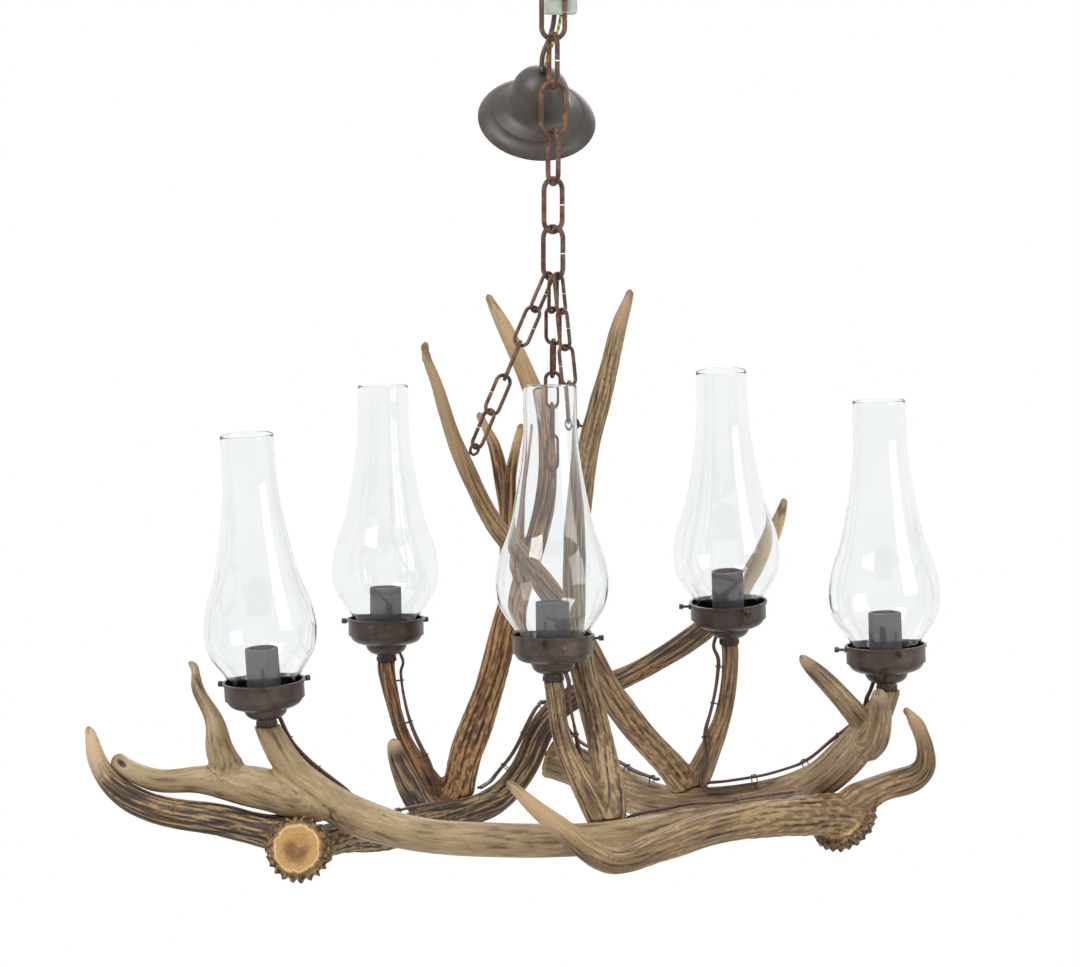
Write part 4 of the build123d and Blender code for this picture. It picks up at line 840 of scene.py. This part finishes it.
# %% Glass, plastic and cord finishes
def clear_glass():
    """Glass with a faint grey tint, perfectly smooth."""
    finish = Finish("clear_glass", Roughness=0.0, IOR=1.45, Transmission_Weight=1.0)
    haze = finish.noise(0.08, 2.0)
    dull, bright = (0.93, 0.942, 0.946, 1), (0.95, 0.96, 0.962, 1)
    finish.set("Base Color", finish.mix(haze.ramp(0.3, 0.7), dull, bright))
    return finish.material


def striped_wire():
    """Yellow with green bands, from a wave that runs slanting through the object."""
    finish = Finish("earth_green", Roughness=0.4)
    wave = finish.add("ShaderNodeTexWave", {"bands_direction": "DIAGONAL"},
                      {"Vector": finish.place(), "Scale": 75.0, "Distortion": 0.6}, output="Fac")
    finish.set("Base Color", finish.mix(wave.ramp(0.45, 0.55), colour(208, 190, 60), colour(86, 120, 58)))
    return finish.material


def pale_block():
    """Pale plastic that lets a little light through."""
    finish = Finish("block_pale", Roughness=0.35, Transmission_Weight=0.25, IOR=1.45)
    cloud = finish.noise(0.01, 3.0)
    finish.set("Base Color", finish.mix(cloud.ramp(0.3, 0.7), colour(188, 196, 186), colour(216, 222, 212)))
    return finish.material


FINISHES = {
    "rusty_steel": rusty_steel(), "bronze_paint": bronze_paint(), "rose_paint": rose_paint(),
    "glass": clear_glass(), "earth_green": striped_wire(), "block_pale": pale_block(),
    "dark_holder": plain("dark_holder", colour(96, 95, 98), 0.6, variation=0.12),
    "brass": plain("brass", colour(190, 150, 84), 0.3, 1.0),
    "lead_brown": plain("lead_brown", colour(84, 56, 42), 0.45),
    "zinc": plain("zinc", colour(150, 142, 130), 0.4, 0.9),
}
slots = {part["node"]: part["material_slot"] for part in frame["record"]["subparts"]}
for name, node in nodes.items():
    if slots[name] in FINISHES:
        node.data.materials.clear()
        node.data.materials.append(FINISHES[slots[name]])
        node.data.shade_smooth()
print("finished", len(nodes), "nodes")

# %% [markdown]
# ## The chimneys
#
# A chimney is blown into a mould and turned as it cools, so it is round and its outline is one flowing
# curve. The solids are round too, but of flat facets, and clear glass shows every facet. So each chimney
# is made again as a surface of turning: one outline, carried round the lamp's axis. The outline goes up the
# outside, rolls over the fire-polished top edge and comes down the inside.

# %% Chimneys
GLASS_POINTS = [                # radius and height above the cup's rim, in millimetres, from the foot up
    (34.5, -22.3), (34.5, -12), (34.5, -2), (41.5, 8.9), (55.0, 31.9), (58.0, 52.3), (55.2, 74.0),
    (44.2, 107.0), (34.6, 153.0), (27.7, 207.8), (27.4, 239.0), (27.3, 254.1),
]
WALL = 1.8                      # thickness of the glass
RIM_UNDER_MOUNT = 20.0          # from the middle of a lamp's thread down to its cup's rim
ROUND_STEPS = 96


def flowing_line(points, samples):
    """Hermite curve through the points, with the slope at each taken from its neighbours."""
    p = np.array(points, float)
    walked = np.concatenate([[0], np.cumsum(np.linalg.norm(np.diff(p, axis=0), axis=1))])
    slope = np.gradient(p, walked, axis=0)
    at = np.linspace(0, walked[-1], samples)
    i = np.clip(np.searchsorted(walked, at, side="right") - 1, 0, len(p) - 2)
    span = (walked[i + 1] - walked[i])[:, None]
    t = ((at - walked[i])[:, None]) / span
    return ((2 * t ** 3 - 3 * t ** 2 + 1) * p[i] + (t ** 3 - 2 * t ** 2 + t) * span * slope[i]
            + (3 * t ** 2 - 2 * t ** 3) * p[i + 1] + (t ** 3 - t ** 2) * span * slope[i + 1])


def closed_outline(line, wall):
    """The outline of a wall: up the line, half a circle over the edge, and back down at wall inside it."""
    along = np.gradient(line, axis=0)
    along /= np.linalg.norm(along, axis=1)[:, None]
    inside = line + wall * np.stack([-along[:, 1], along[:, 0]], axis=1)
    turn = np.linspace(0, np.pi, 8)[1:-1, None]
    centre = (line[-1] + inside[-1]) / 2
    edge = centre + (line[-1] - centre) * np.cos(turn) + along[-1] * wall / 2 * np.sin(turn)
    return np.vstack([line, edge, inside[::-1]])


def turned_mesh(name, outline, origin, up):
    """Carries a closed outline of (radius, height) once round the axis up through origin."""
    up = np.array(up, float)
    side = np.cross(up, (0, 1, 0))
    side /= np.linalg.norm(side)
    back = np.cross(up, side)
    angle = np.arange(ROUND_STEPS) * 2 * np.pi / ROUND_STEPS
    ring = np.cos(angle)[:, None] * side + np.sin(angle)[:, None] * back
    points = np.array(origin) + (outline[:, None, :1] * ring + outline[:, None, 1:] * up) / 1000
    mesh = bpy.data.meshes.new(name)
    mesh.from_pydata(points.reshape(-1, 3), [], ring_faces(len(outline), ROUND_STEPS).tolist())
    mesh.shade_smooth()
    return mesh


def make_chimneys():
    """One chimney for each lamp mount, on the mount's axis."""
    outline = closed_outline(flowing_line(GLASS_POINTS, 90), WALL)
    for mount in frame["record"]["mounts"]:
        if not mount["name"].startswith("lamp_"):
            continue
        node = mount["name"].replace("lamp", "chimney")
        up = np.array(mount["axis"])
        rim = np.array(mount["pos_m"]) - up * RIM_UNDER_MOUNT / 1000
        mesh = turned_mesh(node + "_glass", outline, rim, up)
        mesh.materials.append(FINISHES["glass"])
        glass = bpy.data.objects.new(node + "_glass", mesh)
        scene.collection.objects.link(glass)
        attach(glass, node)
        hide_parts(node)
        print(glass.name, len(mesh.polygons), "faces")


make_chimneys()

# %% [markdown]
# ## The room
#
# A chandelier hangs high over its floor. The floor is pale and plain, and lies low enough to stay out of
# the picture, where the photograph shows only white.

# %% Floor
FLOOR_DROP = 1.95               # metres from the ceiling
FLOOR_HALF = 2.6


def make_floor():
    """A square of pale floor: four corners and one face."""
    x, y = np.meshgrid([-FLOOR_HALF, FLOOR_HALF], [-FLOOR_HALF, FLOOR_HALF])
    corners = np.stack([x, y, np.full_like(x, -FLOOR_DROP)], axis=-1).reshape(-1, 3)
    mesh = bpy.data.meshes.new("floor")
    mesh.from_pydata(corners, [], [(0, 1, 3, 2)])
    floor = bpy.data.objects.new("floor", mesh)
    scene.collection.objects.link(floor)
    finish = Finish("floor_paint", Roughness=0.7)
    cloud = finish.noise(0.8, 3.0)
    finish.set("Base Color", finish.mix(cloud, colour(232, 231, 229), colour(242, 241, 239)))
    mesh.materials.append(finish.material)


make_floor()
